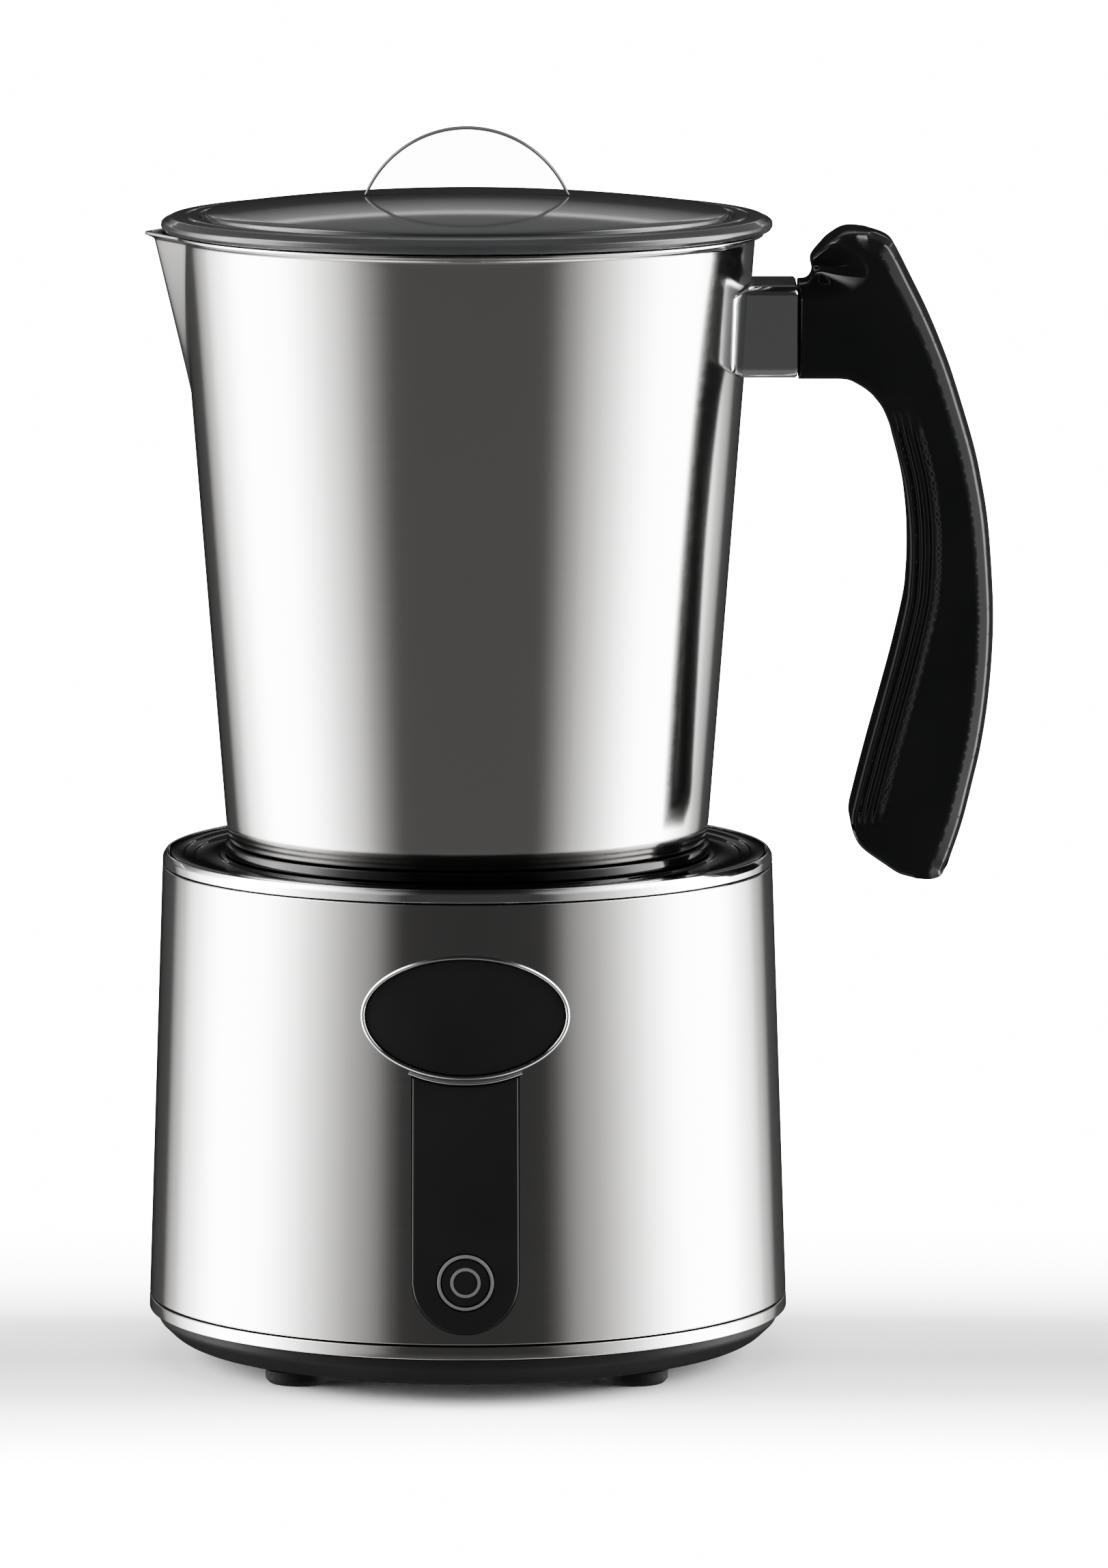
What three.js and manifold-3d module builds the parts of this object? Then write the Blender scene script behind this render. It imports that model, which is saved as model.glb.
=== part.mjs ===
// Milk frother: a powered induction base, a detachable steel jug with a
// magnetically driven whisk, and a lift-off lid. Millimetres, +Z up.
import * as THREE from 'three';
import { mergeVertices } from 'three/addons/utils/BufferGeometryUtils.js';
import Module from 'manifold-3d';

const wasm = await Module();
wasm.setup();

// ---------- driving dimensions ----------
const GAP = 0.3;
const ROUND = 36;
const SMALL = 10;

// base
const BASE_R_LOW = 60.5;
const BASE_Z_LOW = 9.0;
const BASE_R_HIGH = 57.6;
const BASE_Z_HIGH = 95.5;
const SHELL_Z0 = 12.0;
const SHELL_Z1 = 93.9;
const SHELL_WALL = 1.2;
const DECK_SEAT_Z = 96.0;
const DECK_EDGE_Z = 96.4;
const DECK_R = 56.3;
const FLOOR_Z0 = 3.0;
const FLOOR_Z1 = 5.0;
const FOOT_R = 6.0;
const FOOT_XY = 31.7;
const POST_XY = 24.0;
const POST_R = 3.4;

// front controls
const OVAL_Z = 72.1;
const OVAL_A = 19.5;
const OVAL_B = 12.6;
const LENS_A = 18.65;
const LENS_B = 10.85;
const STRIP_HALF = 9.87;
const STRIP_Z0 = 14.1;
const BUTTON_Z = 23.8;
const BUTTON_RING_R = 5.24;
const BUTTON_RING_IN = 4.64;
const LIGHT_RING_R = 2.83;
const LIGHT_RING_IN = 2.23;

// drive
const MOTOR_R = 14.0;
const MOTOR_Z0 = 30.0;
const PLATE_Z0 = 66.3;
const PLATE_Z1 = 68.8;
const MAGNET_RING_R = 12.0;
const CARRIER_R = 18.0;
const COIL_R0 = 28.0;
const COIL_PITCH = 2.4;
const COIL_TURNS = 5.5;
const COIL_STEPS = 16;

// jug
const JUG_Z0 = 96.3;
const JUG_R_LOW = 45.32;
const JUG_SLOPE = 0.0776;
const JUG_WALL = 1.2;
const JUG_NECK_Z = 210.5;
const LIP_Z = 213.5;
const LIP_R = 56.0;
const SPOUT_Z0 = 181.5;
const SPOUT_TIP_X = 61.2;
const SPOUT_HALF = 14.5;

// handle
const GRIP_HALF = 11.5;
const SEAM_X = 61.9;
const GRIP_BACK_X = 99.0;
const BRACKET_Z0 = 188.1;
const BRACKET_Z1 = 204.8;

// lid
const LID_R = 57.4;
const LID_Z0 = 213.8;
const LID_Z1 = 216.3;
const DOME_Z = 221.6;
const TAB_R = 20.9;
const TAB_TOP_Z = 233.2;
const TAB_HALF = 1.1;

// the round body sits off centre so that the whole part is centred on the origin
const AXIS_X = (SPOUT_TIP_X - GRIP_BACK_X) / 2;

const baseRadius = (z) =>
  BASE_R_LOW + ((z - BASE_Z_LOW) * (BASE_R_HIGH - BASE_R_LOW)) / (BASE_Z_HIGH - BASE_Z_LOW);
const jugRadius = (z) => JUG_R_LOW + JUG_SLOPE * (z - 98.7);

// ---------- materials ----------
const metal = (color, roughness) => new THREE.MeshStandardMaterial({ color, roughness, metalness: 1 });
const plastic = (color, roughness) => new THREE.MeshStandardMaterial({ color, roughness, metalness: 0 });
const clear = (color, roughness, opacity) =>
  new THREE.MeshStandardMaterial({ color, roughness, metalness: 0, transparent: true, opacity });

const satinSteel = () => metal(0xc8c9ca, 0.28);
const brightSteel = () => metal(0xdadbdc, 0.08);
const glossBlack = () => plastic(0x070708, 0.08);
const mattBlack = () => plastic(0x1a1a1b, 0.55);
const boardGreen = () => plastic(0x1d5a36, 0.5);
const magnetGrey = () => metal(0x8d8f92, 0.3);
const screwSteel = () => metal(0xa9abad, 0.35);

// ---------- geometry helpers ----------
function signedVolume(geometry) {
  const position = geometry.getAttribute('position');
  const index = geometry.index.array;
  const a = new THREE.Vector3();
  const b = new THREE.Vector3();
  const c = new THREE.Vector3();
  let volume = 0;
  for (let i = 0; i < index.length; i += 3) {
    a.fromBufferAttribute(position, index[i]);
    b.fromBufferAttribute(position, index[i + 1]);
    c.fromBufferAttribute(position, index[i + 2]);
    volume += a.dot(b.cross(c)) / 6;
  }
  return volume;
}

// one welded, closed, outward-facing body from any three.js solid
function weld(source) {
  const bare = source.clone();
  bare.deleteAttribute('normal');
  bare.deleteAttribute('uv');
  const merged = mergeVertices(bare, 1e-4);
  const old = merged.index.array;
  const kept = [];
  for (let i = 0; i < old.length; i += 3) {
    const [a, b, c] = [old[i], old[i + 1], old[i + 2]];
    if (a !== b && b !== c && c !== a) kept.push(a, b, c);
  }
  merged.setIndex(kept);
  if (signedVolume(merged) < 0) {
    for (let i = 0; i < kept.length; i += 3) {
      [kept[i], kept[i + 1]] = [kept[i + 1], kept[i]];
    }
    merged.setIndex(kept);
  }
  return merged;
}

function toManifold(geometry) {
  const welded = weld(geometry);
  const vertProperties = new Float32Array(welded.getAttribute('position').array);
  const triVerts = new Uint32Array(welded.index.array);
  return new wasm.Manifold(new wasm.Mesh({ numProp: 3, vertProperties, triVerts }));
}

function fromManifold(manifold) {
  const mesh = manifold.getMesh();
  const geometry = new THREE.BufferGeometry();
  geometry.setAttribute('position', new THREE.BufferAttribute(new Float32Array(mesh.vertProperties), 3));
  geometry.setIndex(new THREE.BufferAttribute(new Uint32Array(mesh.triVerts), 1));
  return geometry;
}

const join = (first, ...rest) =>
  fromManifold(rest.reduce((sum, g) => sum.add(toManifold(g)), toManifold(first)));
const cut = (first, ...tools) =>
  fromManifold(tools.reduce((left, g) => left.subtract(toManifold(g)), toManifold(first)));
const common = (a, b) => fromManifold(toManifold(a).intersect(toManifold(b)));

// a profile of [radius, z] pairs turned about Z
function turned(profile, segments = ROUND) {
  const points = profile.map(([r, z]) => new THREE.Vector2(r, z));
  return weld(new THREE.LatheGeometry(points, segments).rotateX(Math.PI / 2));
}

const ring = (r0, r1, z0, z1, segments = ROUND) =>
  turned([[r0, z0], [r1, z0], [r1, z1], [r0, z1], [r0, z0]], segments);
const rod = (r, z0, z1, x = 0, y = 0, segments = SMALL) =>
  turned([[0, z0], [r, z0], [r, z1], [0, z1]], segments).translate(x, y, 0);
const block = (x0, x1, y0, y1, z0, z1) =>
  new THREE.BoxGeometry(x1 - x0, y1 - y0, z1 - z0)
    .translate((x0 + x1) / 2, (y0 + y1) / 2, (z0 + z1) / 2);
// stands a solid made about Z on the front face, its +Z end towards -Y at height z
const facingFront = (geometry, z) => geometry.rotateX(Math.PI / 2).translate(0, 0, z);

// an outline in X and Z carried along Y from y0 to y1
function frontPrism(shape, y0, y1, curveSegments = 12) {
  const settings = { depth: y1 - y0, bevelEnabled: false, curveSegments };
  return new THREE.ExtrudeGeometry(shape, settings).rotateX(Math.PI / 2).translate(0, y1, 0);
}

// an outline in Y and Z carried along X from x0 to x1
function sidePrism(shape, x0, x1) {
  const turn = new THREE.Matrix4().makeBasis(
    new THREE.Vector3(0, 1, 0), new THREE.Vector3(0, 0, 1), new THREE.Vector3(1, 0, 0));
  const settings = { depth: x1 - x0, bevelEnabled: false, curveSegments: 3 };
  return new THREE.ExtrudeGeometry(shape, settings).applyMatrix4(turn).translate(x0, 0, 0);
}

function ellipseShape(a, b, z) {
  const shape = new THREE.Shape();
  shape.absellipse(0, z, a, b, 0, Math.PI * 2, false);
  return shape;
}

function roundedShape(half, z0, z1, radius) {
  const shape = new THREE.Shape();
  shape.moveTo(-half + radius, z0);
  shape.lineTo(half - radius, z0);
  shape.absarc(half - radius, z0 + radius, radius, -Math.PI / 2, 0, false);
  shape.absarc(half - radius, z1 - radius, radius, 0, Math.PI / 2, false);
  shape.absarc(-half + radius, z1 - radius, radius, Math.PI / 2, Math.PI, false);
  shape.absarc(-half + radius, z0 + radius, radius, Math.PI, Math.PI * 1.5, false);
  return shape;
}

// a stadium with a round bottom and a flat top
function stripShape(half, z0, z1) {
  const shape = new THREE.Shape();
  shape.moveTo(half, z1);
  shape.lineTo(-half, z1);
  shape.lineTo(-half, z0 + half);
  shape.absarc(0, z0 + half, half, Math.PI, Math.PI * 2, false);
  shape.lineTo(half, z1);
  return shape;
}

// a wall of the base cone between two offsets from its surface
function baseWall(inner, outer, z0, z1, segments = ROUND) {
  return turned([
    [baseRadius(z0) + inner, z0], [baseRadius(z0) + outer, z0],
    [baseRadius(z1) + outer, z1], [baseRadius(z1) + inner, z1],
    [baseRadius(z0) + inner, z0],
  ], segments);
}

function jugWall(inner, outer, z0, z1, segments = ROUND) {
  return turned([
    [jugRadius(z0) + inner, z0], [jugRadius(z0) + outer, z0],
    [jugRadius(z1) + outer, z1], [jugRadius(z1) + inner, z1],
    [jugRadius(z0) + inner, z0],
  ], segments);
}

const polar = (radius, degrees) => {
  const angle = THREE.MathUtils.degToRad(degrees);
  return [radius * Math.cos(angle), radius * Math.sin(angle)];
};

// ---------- scene graph ----------
const part = new THREE.Group();
part.name = 'milk_frother';
const axis = new THREE.Group();
axis.name = 'axis_frame';
axis.position.x = AXIS_X;
part.add(axis);

const groups = {};
for (const name of ['base', 'drive', 'fan', 'button', 'jug', 'whisk_bush', 'whisk', 'lid']) {
  groups[name] = new THREE.Group();
  groups[name].name = `${name}_group`;
  axis.add(groups[name]);
}

function add(group, name, geometry, material) {
  const mesh = new THREE.Mesh(weld(geometry), material);
  mesh.geometry.computeVertexNormals();
  mesh.name = name;
  groups[group].add(mesh);
  return mesh;
}

// ---------- base: outer skin ----------
function baseShell() {
  const wall = turned([
    [baseRadius(SHELL_Z0) - SHELL_WALL, SHELL_Z0],
    [baseRadius(SHELL_Z0), SHELL_Z0],
    [baseRadius(SHELL_Z1), SHELL_Z1],
    [55.0, SHELL_Z1],
    [55.0, SHELL_Z1 - SHELL_WALL],
    [baseRadius(SHELL_Z1) - SHELL_WALL, SHELL_Z1 - SHELL_WALL],
    [baseRadius(SHELL_Z0) - SHELL_WALL, SHELL_Z0],
  ]);
  const ovalHole = frontPrism(ellipseShape(LENS_A + 0.05, LENS_B + 0.05, OVAL_Z), -70, -40);
  const stripHole = frontPrism(stripShape(STRIP_HALF + GAP, STRIP_Z0 - GAP, OVAL_Z), -70, -40);
  const inletHole = frontPrism(ellipseShape(7.2, 7.2, 24.5), 40, 70);
  return cut(wall, ovalHole, stripHole, inletHole);
}

function topRing() {
  return turned([
    [56.6, 94.2], [57.64, 94.2], [57.58, 95.6], [57.2, 96.4], [56.6, 96.5], [56.6, 94.2],
  ]);
}

function lowerBand() {
  return turned([
    [58.8, 9.3], [60.3, 9.3], [BASE_R_LOW, 9.5], [baseRadius(11.4), 11.4],
    [60.2, 11.7], [58.8, 11.7], [58.8, 9.3],
  ]);
}

function deck() {
  return turned([
    [0, DECK_SEAT_Z], [46.8, DECK_SEAT_Z], [47.2, 95.6], [51.4, 95.6], [51.7, 96.0],
    [53.3, 96.0], [53.6, DECK_EDGE_Z], [DECK_R, DECK_EDGE_Z], [DECK_R, 94.2], [54.6, 94.2],
    [54.6, 90.0], [53.0, 90.0], [53.0, 94.0], [0, 94.0],
  ]);
}

// ---------- base: chassis ----------
function chassisPan() {
  return turned([
    [0, FLOOR_Z0], [51.0, FLOOR_Z0], [54.5, 3.6], [57.3, 5.3], [58.6, 7.4], [58.8, 9.0],
    [57.9, 9.0], [57.9, 15.0], [56.4, 15.0], [56.4, 6.4], [55.4, FLOOR_Z1], [0, FLOOR_Z1],
  ]);
}

const corners = [[1, -1], [1, 1], [-1, 1], [-1, -1]];

function chassis() {
  const added = [];
  const removed = [];
  for (const [sx, sy] of corners) {
    const [px, py] = [sx * POST_XY, sy * POST_XY];
    added.push(rod(5.0, FLOOR_Z1 - 1, 8.0, px, py));
    added.push(rod(3.0, FLOOR_Z1 - 1, 17.3, sx * 37, sy * 15));
    removed.push(rod(3.2, FLOOR_Z0 - 1, 5.6, px, py));
    removed.push(rod(1.8, 5.0, 9.0, px, py));
    removed.push(rod(2.4, FLOOR_Z0 - 1, FLOOR_Z1 + 1, sx * FOOT_XY, sy * FOOT_XY));
  }
  for (const side of [-1, 1]) {
    const x = side * 10.1;
    added.push(block(x - 1.5, x + 1.5, -51, -45, FLOOR_Z1 - 1, 34));
  }
  for (let i = -3; i <= 3; i += 1) {
    const half = Math.sqrt(17 ** 2 - (i * 4.8) ** 2);
    removed.push(block(i * 4.8 - 1.2, i * 4.8 + 1.2, -half, half, FLOOR_Z0 - 1, FLOOR_Z1 + 1));
  }
  return cut(join(chassisPan(), ...added), ...removed);
}

function foot() {
  return turned([
    [0, 0], [5.4, 0], [FOOT_R, 0.6], [FOOT_R, 2.7], [2.0, 2.7], [2.0, 4.7], [0, 4.7],
  ], 14);
}

function chassisScrew() {
  const body = turned([[0, 3.5], [2.8, 3.5], [2.8, 5.3], [1.4, 5.3], [1.4, 16], [0, 16.8]], SMALL);
  return cut(body, block(-3, 3, -0.4, 0.4, 3, 4.3));
}

function motorFrame() {
  const posts = [];
  const holes = [rod(5.4, 60, 75, 0, 0, 20)];
  for (const [sx, sy] of corners) {
    posts.push(rod(POST_R, 8.3, 85.4, sx * POST_XY, sy * POST_XY));
    holes.push(rod(1.7, 7, 18, sx * POST_XY, sy * POST_XY));
  }
  return cut(join(rod(39.0, PLATE_Z0, PLATE_Z1, 0, 0, 32), ...posts), ...holes);
}

// ---------- base: motor, heater and electronics ----------
function motorCan() {
  return turned([
    [0, 27.5], [4.0, 27.5], [4.0, MOTOR_Z0], [12.6, MOTOR_Z0], [MOTOR_R, 31.4], [MOTOR_R, 64.6],
    [12.6, 66.0], [5.0, 66.0], [5.0, 69.4], [1.8, 69.4], [1.8, 57.0], [0, 57.0],
  ], 20);
}

function coilFormer() {
  return turned([
    [20.5, 85.7], [44.4, 85.7], [44.4, 93.5], [43.0, 93.5], [43.0, 88.2], [20.5, 88.2], [20.5, 85.7],
  ], 30);
}

// a flat conductor wound outwards as an Archimedean spiral
function inductionCoil() {
  const steps = Math.round(COIL_TURNS * COIL_STEPS);
  const half = [1.0, 1.9];
  const positions = [];
  const index = [];
  for (let i = 0; i <= steps; i += 1) {
    const turn = i / COIL_STEPS;
    const angle = turn * Math.PI * 2;
    const radius = COIL_R0 + COIL_PITCH * turn;
    for (const [u, v] of [[-1, -1], [1, -1], [1, 1], [-1, 1]]) {
      const r = radius + u * half[0];
      positions.push(r * Math.cos(angle), r * Math.sin(angle), 90.6 + v * half[1]);
    }
    if (i < steps) {
      for (let k = 0; k < 4; k += 1) {
        const [a, b] = [i * 4 + k, i * 4 + ((k + 1) % 4)];
        index.push(a, b, b + 4, a, b + 4, a + 4);
      }
    }
  }
  const last = steps * 4;
  index.push(0, 2, 1, 0, 3, 2, last, last + 1, last + 2, last, last + 2, last + 3);
  const geometry = new THREE.BufferGeometry();
  geometry.setAttribute('position', new THREE.Float32BufferAttribute(positions, 3));
  geometry.setIndex(index);
  return geometry;
}

function heatSink() {
  const fins = [block(-37, -22, -13, 13, 19.5, 22.0)];
  for (let i = 0; i < 6; i += 1) {
    const y = -11.8 + i * 4.72;
    fins.push(block(-37, -22, y - 0.7, y + 0.7, 21.0, 38.0));
  }
  return join(...fins);
}

function fanFrame() {
  const hub = rod(8.0, 5.3, 6.8, 0, 0, 16);
  const arms = [0, 120, 240].map((turn) =>
    block(6, 19.2, -1.2, 1.2, 5.3, 6.8).rotateZ(THREE.MathUtils.degToRad(turn)));
  const housing = cut(block(-20, 20, -20, 20, 5.3, 15.3), rod(18.7, 4, 17, 0, 0, 28));
  return join(housing, hub, ...arms);
}

function fanRotor() {
  const blades = [];
  for (let i = 0; i < 7; i += 1) {
    blades.push(block(7.4, 17.9, -4.2, 4.2, -0.45, 0.45)
      .rotateX(THREE.MathUtils.degToRad(38))
      .translate(0, 0, 11)
      .rotateZ((i * Math.PI * 2) / 7));
  }
  return join(rod(8.2, 7.2, 14.7, 0, 0, 16), ...blades);
}

function magnetCarrier() {
  const body = turned([
    [0, 90.3], [1.8, 90.3], [1.8, 74.0], [5.0, 74.0], [5.0, 84.5], [CARRIER_R, 84.5],
    [CARRIER_R, 92.5], [0, 92.5],
  ], 24);
  const pockets = [45, 135, 225, 315].map((turn) => rod(4.3, 87.9, 94, ...polar(MAGNET_RING_R, turn)));
  return cut(body, ...pockets);
}

// ---------- base: front controls ----------
function controlStrip() {
  const face = frontPrism(stripShape(STRIP_HALF, STRIP_Z0, OVAL_Z), -70, -40);
  const panel = common(face, baseWall(-2.0, 0.1, 10, 75, 90));
  const underOval = frontPrism(ellipseShape(OVAL_A + GAP, OVAL_B + GAP, OVAL_Z), -70, -40, 14);
  const buttonHole = frontPrism(ellipseShape(BUTTON_RING_R + GAP, BUTTON_RING_R + GAP, BUTTON_Z), -70, -40);
  return cut(panel, underOval, buttonHole);
}

function ovalBezel() {
  const outer = frontPrism(ellipseShape(OVAL_A, OVAL_B, OVAL_Z), -70, -40, 14);
  const inner = frontPrism(ellipseShape(LENS_A, LENS_B, OVAL_Z), -71, -39, 14);
  return common(cut(outer, inner), baseWall(GAP, 1.5, 55, 90, 90));
}

function ovalWindow() {
  const face = frontPrism(ellipseShape(LENS_A - 0.25, LENS_B - 0.25, OVAL_Z), -70, -40, 14);
  return common(face, baseWall(-2.2, 0.9, 55, 90, 90));
}

function buttonBezel() {
  return facingFront(turned([
    [BUTTON_RING_IN, 56.5], [6.6, 56.5], [6.6, 57.2], [BUTTON_RING_R, 57.2],
    [BUTTON_RING_R, 60.4], [BUTTON_RING_IN, 60.4], [BUTTON_RING_IN, 56.5],
  ], 20), BUTTON_Z);
}

function buttonCap() {
  return facingFront(turned([
    [0, 54.9], [1.6, 54.9], [1.6, 58.2], [4.3, 58.2], [4.3, 60.3], [LIGHT_RING_R + 0.2, 60.3],
    [LIGHT_RING_R + 0.2, 59.3], [LIGHT_RING_IN - 0.2, 59.3], [LIGHT_RING_IN - 0.2, 60.3], [0, 60.3],
  ], 20), BUTTON_Z);
}

function tactSwitch() {
  const plunger = facingFront(rod(1.7, 50, 53.8), BUTTON_Z);
  return join(block(-3, 3, -52.8, -49.5, BUTTON_Z - 3, BUTTON_Z + 3), plunger);
}

// a grommet seated in the rear wall, closed where the supply lead would enter
function cableInlet() {
  return turned([
    [0, 57.0], [3.2, 57.0], [3.2, 60.1], [6.5, 60.1], [6.9, 59.7], [6.9, 57.5],
    [8.6, 57.5], [8.6, 56.6], [5.5, 56.6], [4.6, 50.0], [0, 50.0],
  ], 20).rotateX(-Math.PI / 2).translate(0, 0, 24.5);
}

// ---------- jug ----------
// how far the pouring lip's folded tip stands out of the round wall at height z
function spoutReach(z) {
  if (z <= SPOUT_Z0) return 0;
  const rise = (z - SPOUT_Z0) / (LIP_Z - SPOUT_Z0);
  return (SPOUT_TIP_X - LIP_R) * rise;
}

// radius of the wall at an angle from the spout: straight flanks from tip to wall
function spoutRadius(radius, z, angle) {
  const reach = spoutReach(z);
  if (reach <= 0) return radius;
  const half = Math.asin((SPOUT_HALF * (z - SPOUT_Z0)) / (LIP_Z - SPOUT_Z0) / radius);
  const a = Math.abs(angle);
  if (a >= half) return radius;
  const tip = radius + reach;
  const top = tip * radius * Math.sin(half);
  return top / (radius * Math.sin(half) * Math.cos(a) + (tip - radius * Math.cos(half)) * Math.sin(a));
}

function jugAngles() {
  const angles = [];
  for (let i = -6; i < 6; i += 1) angles.push(THREE.MathUtils.degToRad(i * 3));
  for (let i = 0; i < 32; i += 1) angles.push(THREE.MathUtils.degToRad(18 + (i * 324) / 32));
  return angles;
}

function jugBody() {
  const outer = [[42.6, JUG_Z0], [44.2, 96.9], [45.1, 98.1], [jugRadius(102), 102]];
  for (const z of [SPOUT_Z0, 196, JUG_NECK_Z]) outer.push([jugRadius(z), z]);
  outer.push([54.5, 212.0], [LIP_R, 213.4], [LIP_R - 0.4, LIP_Z]);
  const inner = [[53.6, 212.5], [jugRadius(JUG_NECK_Z) - JUG_WALL, JUG_NECK_Z]];
  for (const z of [196, SPOUT_Z0, 103]) inner.push([jugRadius(z) - JUG_WALL, z]);
  inner.push([43.6, 99.3], [42.2, 97.7]);
  const profile = [...outer, ...inner];
  const angles = jugAngles();
  const columns = angles.length;
  const positions = [];
  for (const [r, z] of profile) {
    for (const angle of angles) {
      const radius = spoutRadius(r, z, angle);
      positions.push(-radius * Math.cos(angle), -radius * Math.sin(angle), z);
    }
  }
  const index = [];
  for (let row = 0; row < profile.length - 1; row += 1) {
    for (let col = 0; col < columns; col += 1) {
      const a = row * columns + col;
      const b = row * columns + ((col + 1) % columns);
      index.push(a, b, b + columns, a, b + columns, a + columns);
    }
  }
  const under = positions.length / 3;
  positions.push(0, 0, JUG_Z0, 0, 0, 97.7);
  const lastRow = (profile.length - 1) * columns;
  for (let col = 0; col < columns; col += 1) {
    const next = (col + 1) % columns;
    index.push(under, next, col, under + 1, lastRow + col, lastRow + next);
  }
  const geometry = new THREE.BufferGeometry();
  geometry.setAttribute('position', new THREE.Float32BufferAttribute(positions, 3));
  geometry.setIndex(index);
  return geometry;
}

function handleBracket() {
  const arm = sidePrism(roundedShape(GRIP_HALF, BRACKET_Z0, BRACKET_Z1, 1.6), 44, SEAM_X);
  const tongue = block(SEAM_X - 2, 72.5, -5, 5, 192.5, 199.5);
  const jugSpace = turned([
    [0, 170], [jugRadius(170) + GAP, 170], [jugRadius(212) + GAP, 212], [0, 212],
  ], 72);
  const pad = common(
    sidePrism(roundedShape(GRIP_HALF + 3.6, BRACKET_Z0 - 3.6, BRACKET_Z1 + 3.6, 5), 30, 70),
    jugWall(GAP, 1.4, 180, 211.9, 72));
  const holes = [64.6, 69.6].map((x) => rod(1.7, 190, 198, x, 0));
  return cut(join(cut(join(arm, tongue), jugSpace), pad), ...holes);
}

// side view of the moulded grip, from the seam over the thumb rest and down the back
function gripShape() {
  const v = (x, z) => new THREE.Vector2(x, z);
  const shape = new THREE.Shape();
  shape.moveTo(SEAM_X + GAP, 205.6);
  shape.lineTo(SEAM_X + GAP, 186.0);
  shape.lineTo(71.0, 186.0);
  shape.splineThru([
    v(75.4, 184.0), v(78.1, 180.9), v(81.4, 170.0), v(83.1, 153.0), v(82.4, 143.6),
    v(77.9, 124.9), v(74.2, 110.9), v(72.3, 102.5), v(74.3, 96.8), v(78.7, 93.3),
  ]);
  shape.splineThru([v(82.5, 90.9), v(88.0, 90.9)]);
  shape.splineThru([
    v(90.3, 92.2), v(93.4, 101.5), v(97.9, 123.4), v(GRIP_BACK_X, 140.5), v(97.9, 159.2),
    v(93.4, 180.9), v(86.5, 199.4), v(80.3, 211.8), v(76.0, 214.9),
  ]);
  shape.lineTo(71.0, 214.9);
  shape.splineThru([v(68.2, 213.3), v(65.1, 210.4), v(64.7, 208.6), v(65.1, 207.1), v(63.8, 205.6)]);
  return shape;
}

function handleGrip() {
  const bevel = 1.5;
  const settings = {
    depth: (GRIP_HALF - bevel) * 2,
    curveSegments: 2,
    bevelEnabled: true,
    bevelThickness: bevel,
    bevelSize: bevel,
    bevelOffset: -bevel,
    bevelSegments: 2,
  };
  const body = new THREE.ExtrudeGeometry(gripShape(), settings)
    .rotateX(Math.PI / 2)
    .translate(0, GRIP_HALF - bevel, 0);
  const socket = block(SEAM_X - 1, 72.8, -5.3, 5.3, 192.2, 199.8);
  const holes = [];
  for (const x of [64.6, 69.6]) {
    holes.push(rod(1.7, 180, 195, x, 0), rod(2.4, 180, 189.4, x, 0));
  }
  return cut(body, socket, ...holes);
}

function handleScrew(x) {
  const body = turned([[0, 187.2], [2.1, 187.2], [2.1, 189.1], [1.4, 189.1], [1.4, 197], [0, 197.6]], SMALL);
  return cut(body, block(-3, 3, -0.35, 0.35, 187, 188)).translate(x, 0, 0);
}

// ---------- whisk ----------
const whiskSpindle = () => turned([
  [0, 98.0], [6.0, 98.0], [6.0, 98.7], [1.5, 98.9], [1.5, 111.2], [0.9, 112.0], [0, 112.0],
], 16);

const whiskBush = () => ring(1.8, 3.0, 99.5, 110.0, 16);

function whiskHub() {
  const body = turned([
    [3.3, 99.4], [16.6, 99.4], [17.4, 100.4], [16.4, 101.8], [17.4, 103.2], [16.6, 104.0],
    [6.2, 104.0], [5.4, 110.4], [3.3, 110.4], [3.3, 99.4],
  ], 24);
  const pockets = [0, 180].map((turn) => rod(4.3, 98, 102.8, ...polar(MAGNET_RING_R - 1.4, turn)));
  return cut(body, ...pockets);
}

// a close-wound wire spring bent into a ring round the hub
function whiskCoil() {
  class RingHelix extends THREE.Curve {
    getPoint(t, target = new THREE.Vector3()) {
      const around = t * Math.PI * 2;
      const wind = t * Math.PI * 2 * 15;
      const r = 20.6 + 2.6 * Math.cos(wind);
      return target.set(r * Math.cos(around), r * Math.sin(around), 102.6 + 2.6 * Math.sin(wind));
    }
  }
  return new THREE.TubeGeometry(new RingHelix(), 15 * 6, 0.5, 4, true);
}

// ---------- lid ----------
const domeProfile = [[22, 221.2], [36, 219.9], [46, 218.0], [50, 216.7]];

function lidShell() {
  const top = domeProfile.map(([r, z]) => [r, z]);
  const under = domeProfile.slice(0, 3).reverse().map(([r, z]) => [r, z - 2.0]);
  return turned([
    [0, DOME_Z], ...top, [51.4, 215.9], [56.4, LID_Z1], [LID_R, 215.3], [LID_R, 214.6],
    [56.4, LID_Z0], [50.2, LID_Z0], [50.2, 208.2], [48.8, 208.2], [48.8, 214.4],
    ...under, [0, DOME_Z - 2.0],
  ]);
}

function lidSeal() {
  return turned([
    [50.5, 209.0], [51.4, 209.0], [52.2, 210.2], [51.4, 211.2], [52.2, 212.6], [50.5, 213.3],
    [50.5, 209.0],
  ]);
}

// a clear half-round tab to lift the lid by
function lidGrip() {
  const centre = TAB_TOP_Z - TAB_R;
  const start = Math.asin((DOME_Z + GAP - centre) / TAB_R);
  const shape = new THREE.Shape();
  shape.absarc(0, centre, TAB_R, start, Math.PI - start, false);
  return frontPrism(shape, -TAB_HALF, TAB_HALF, 16);
}

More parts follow.
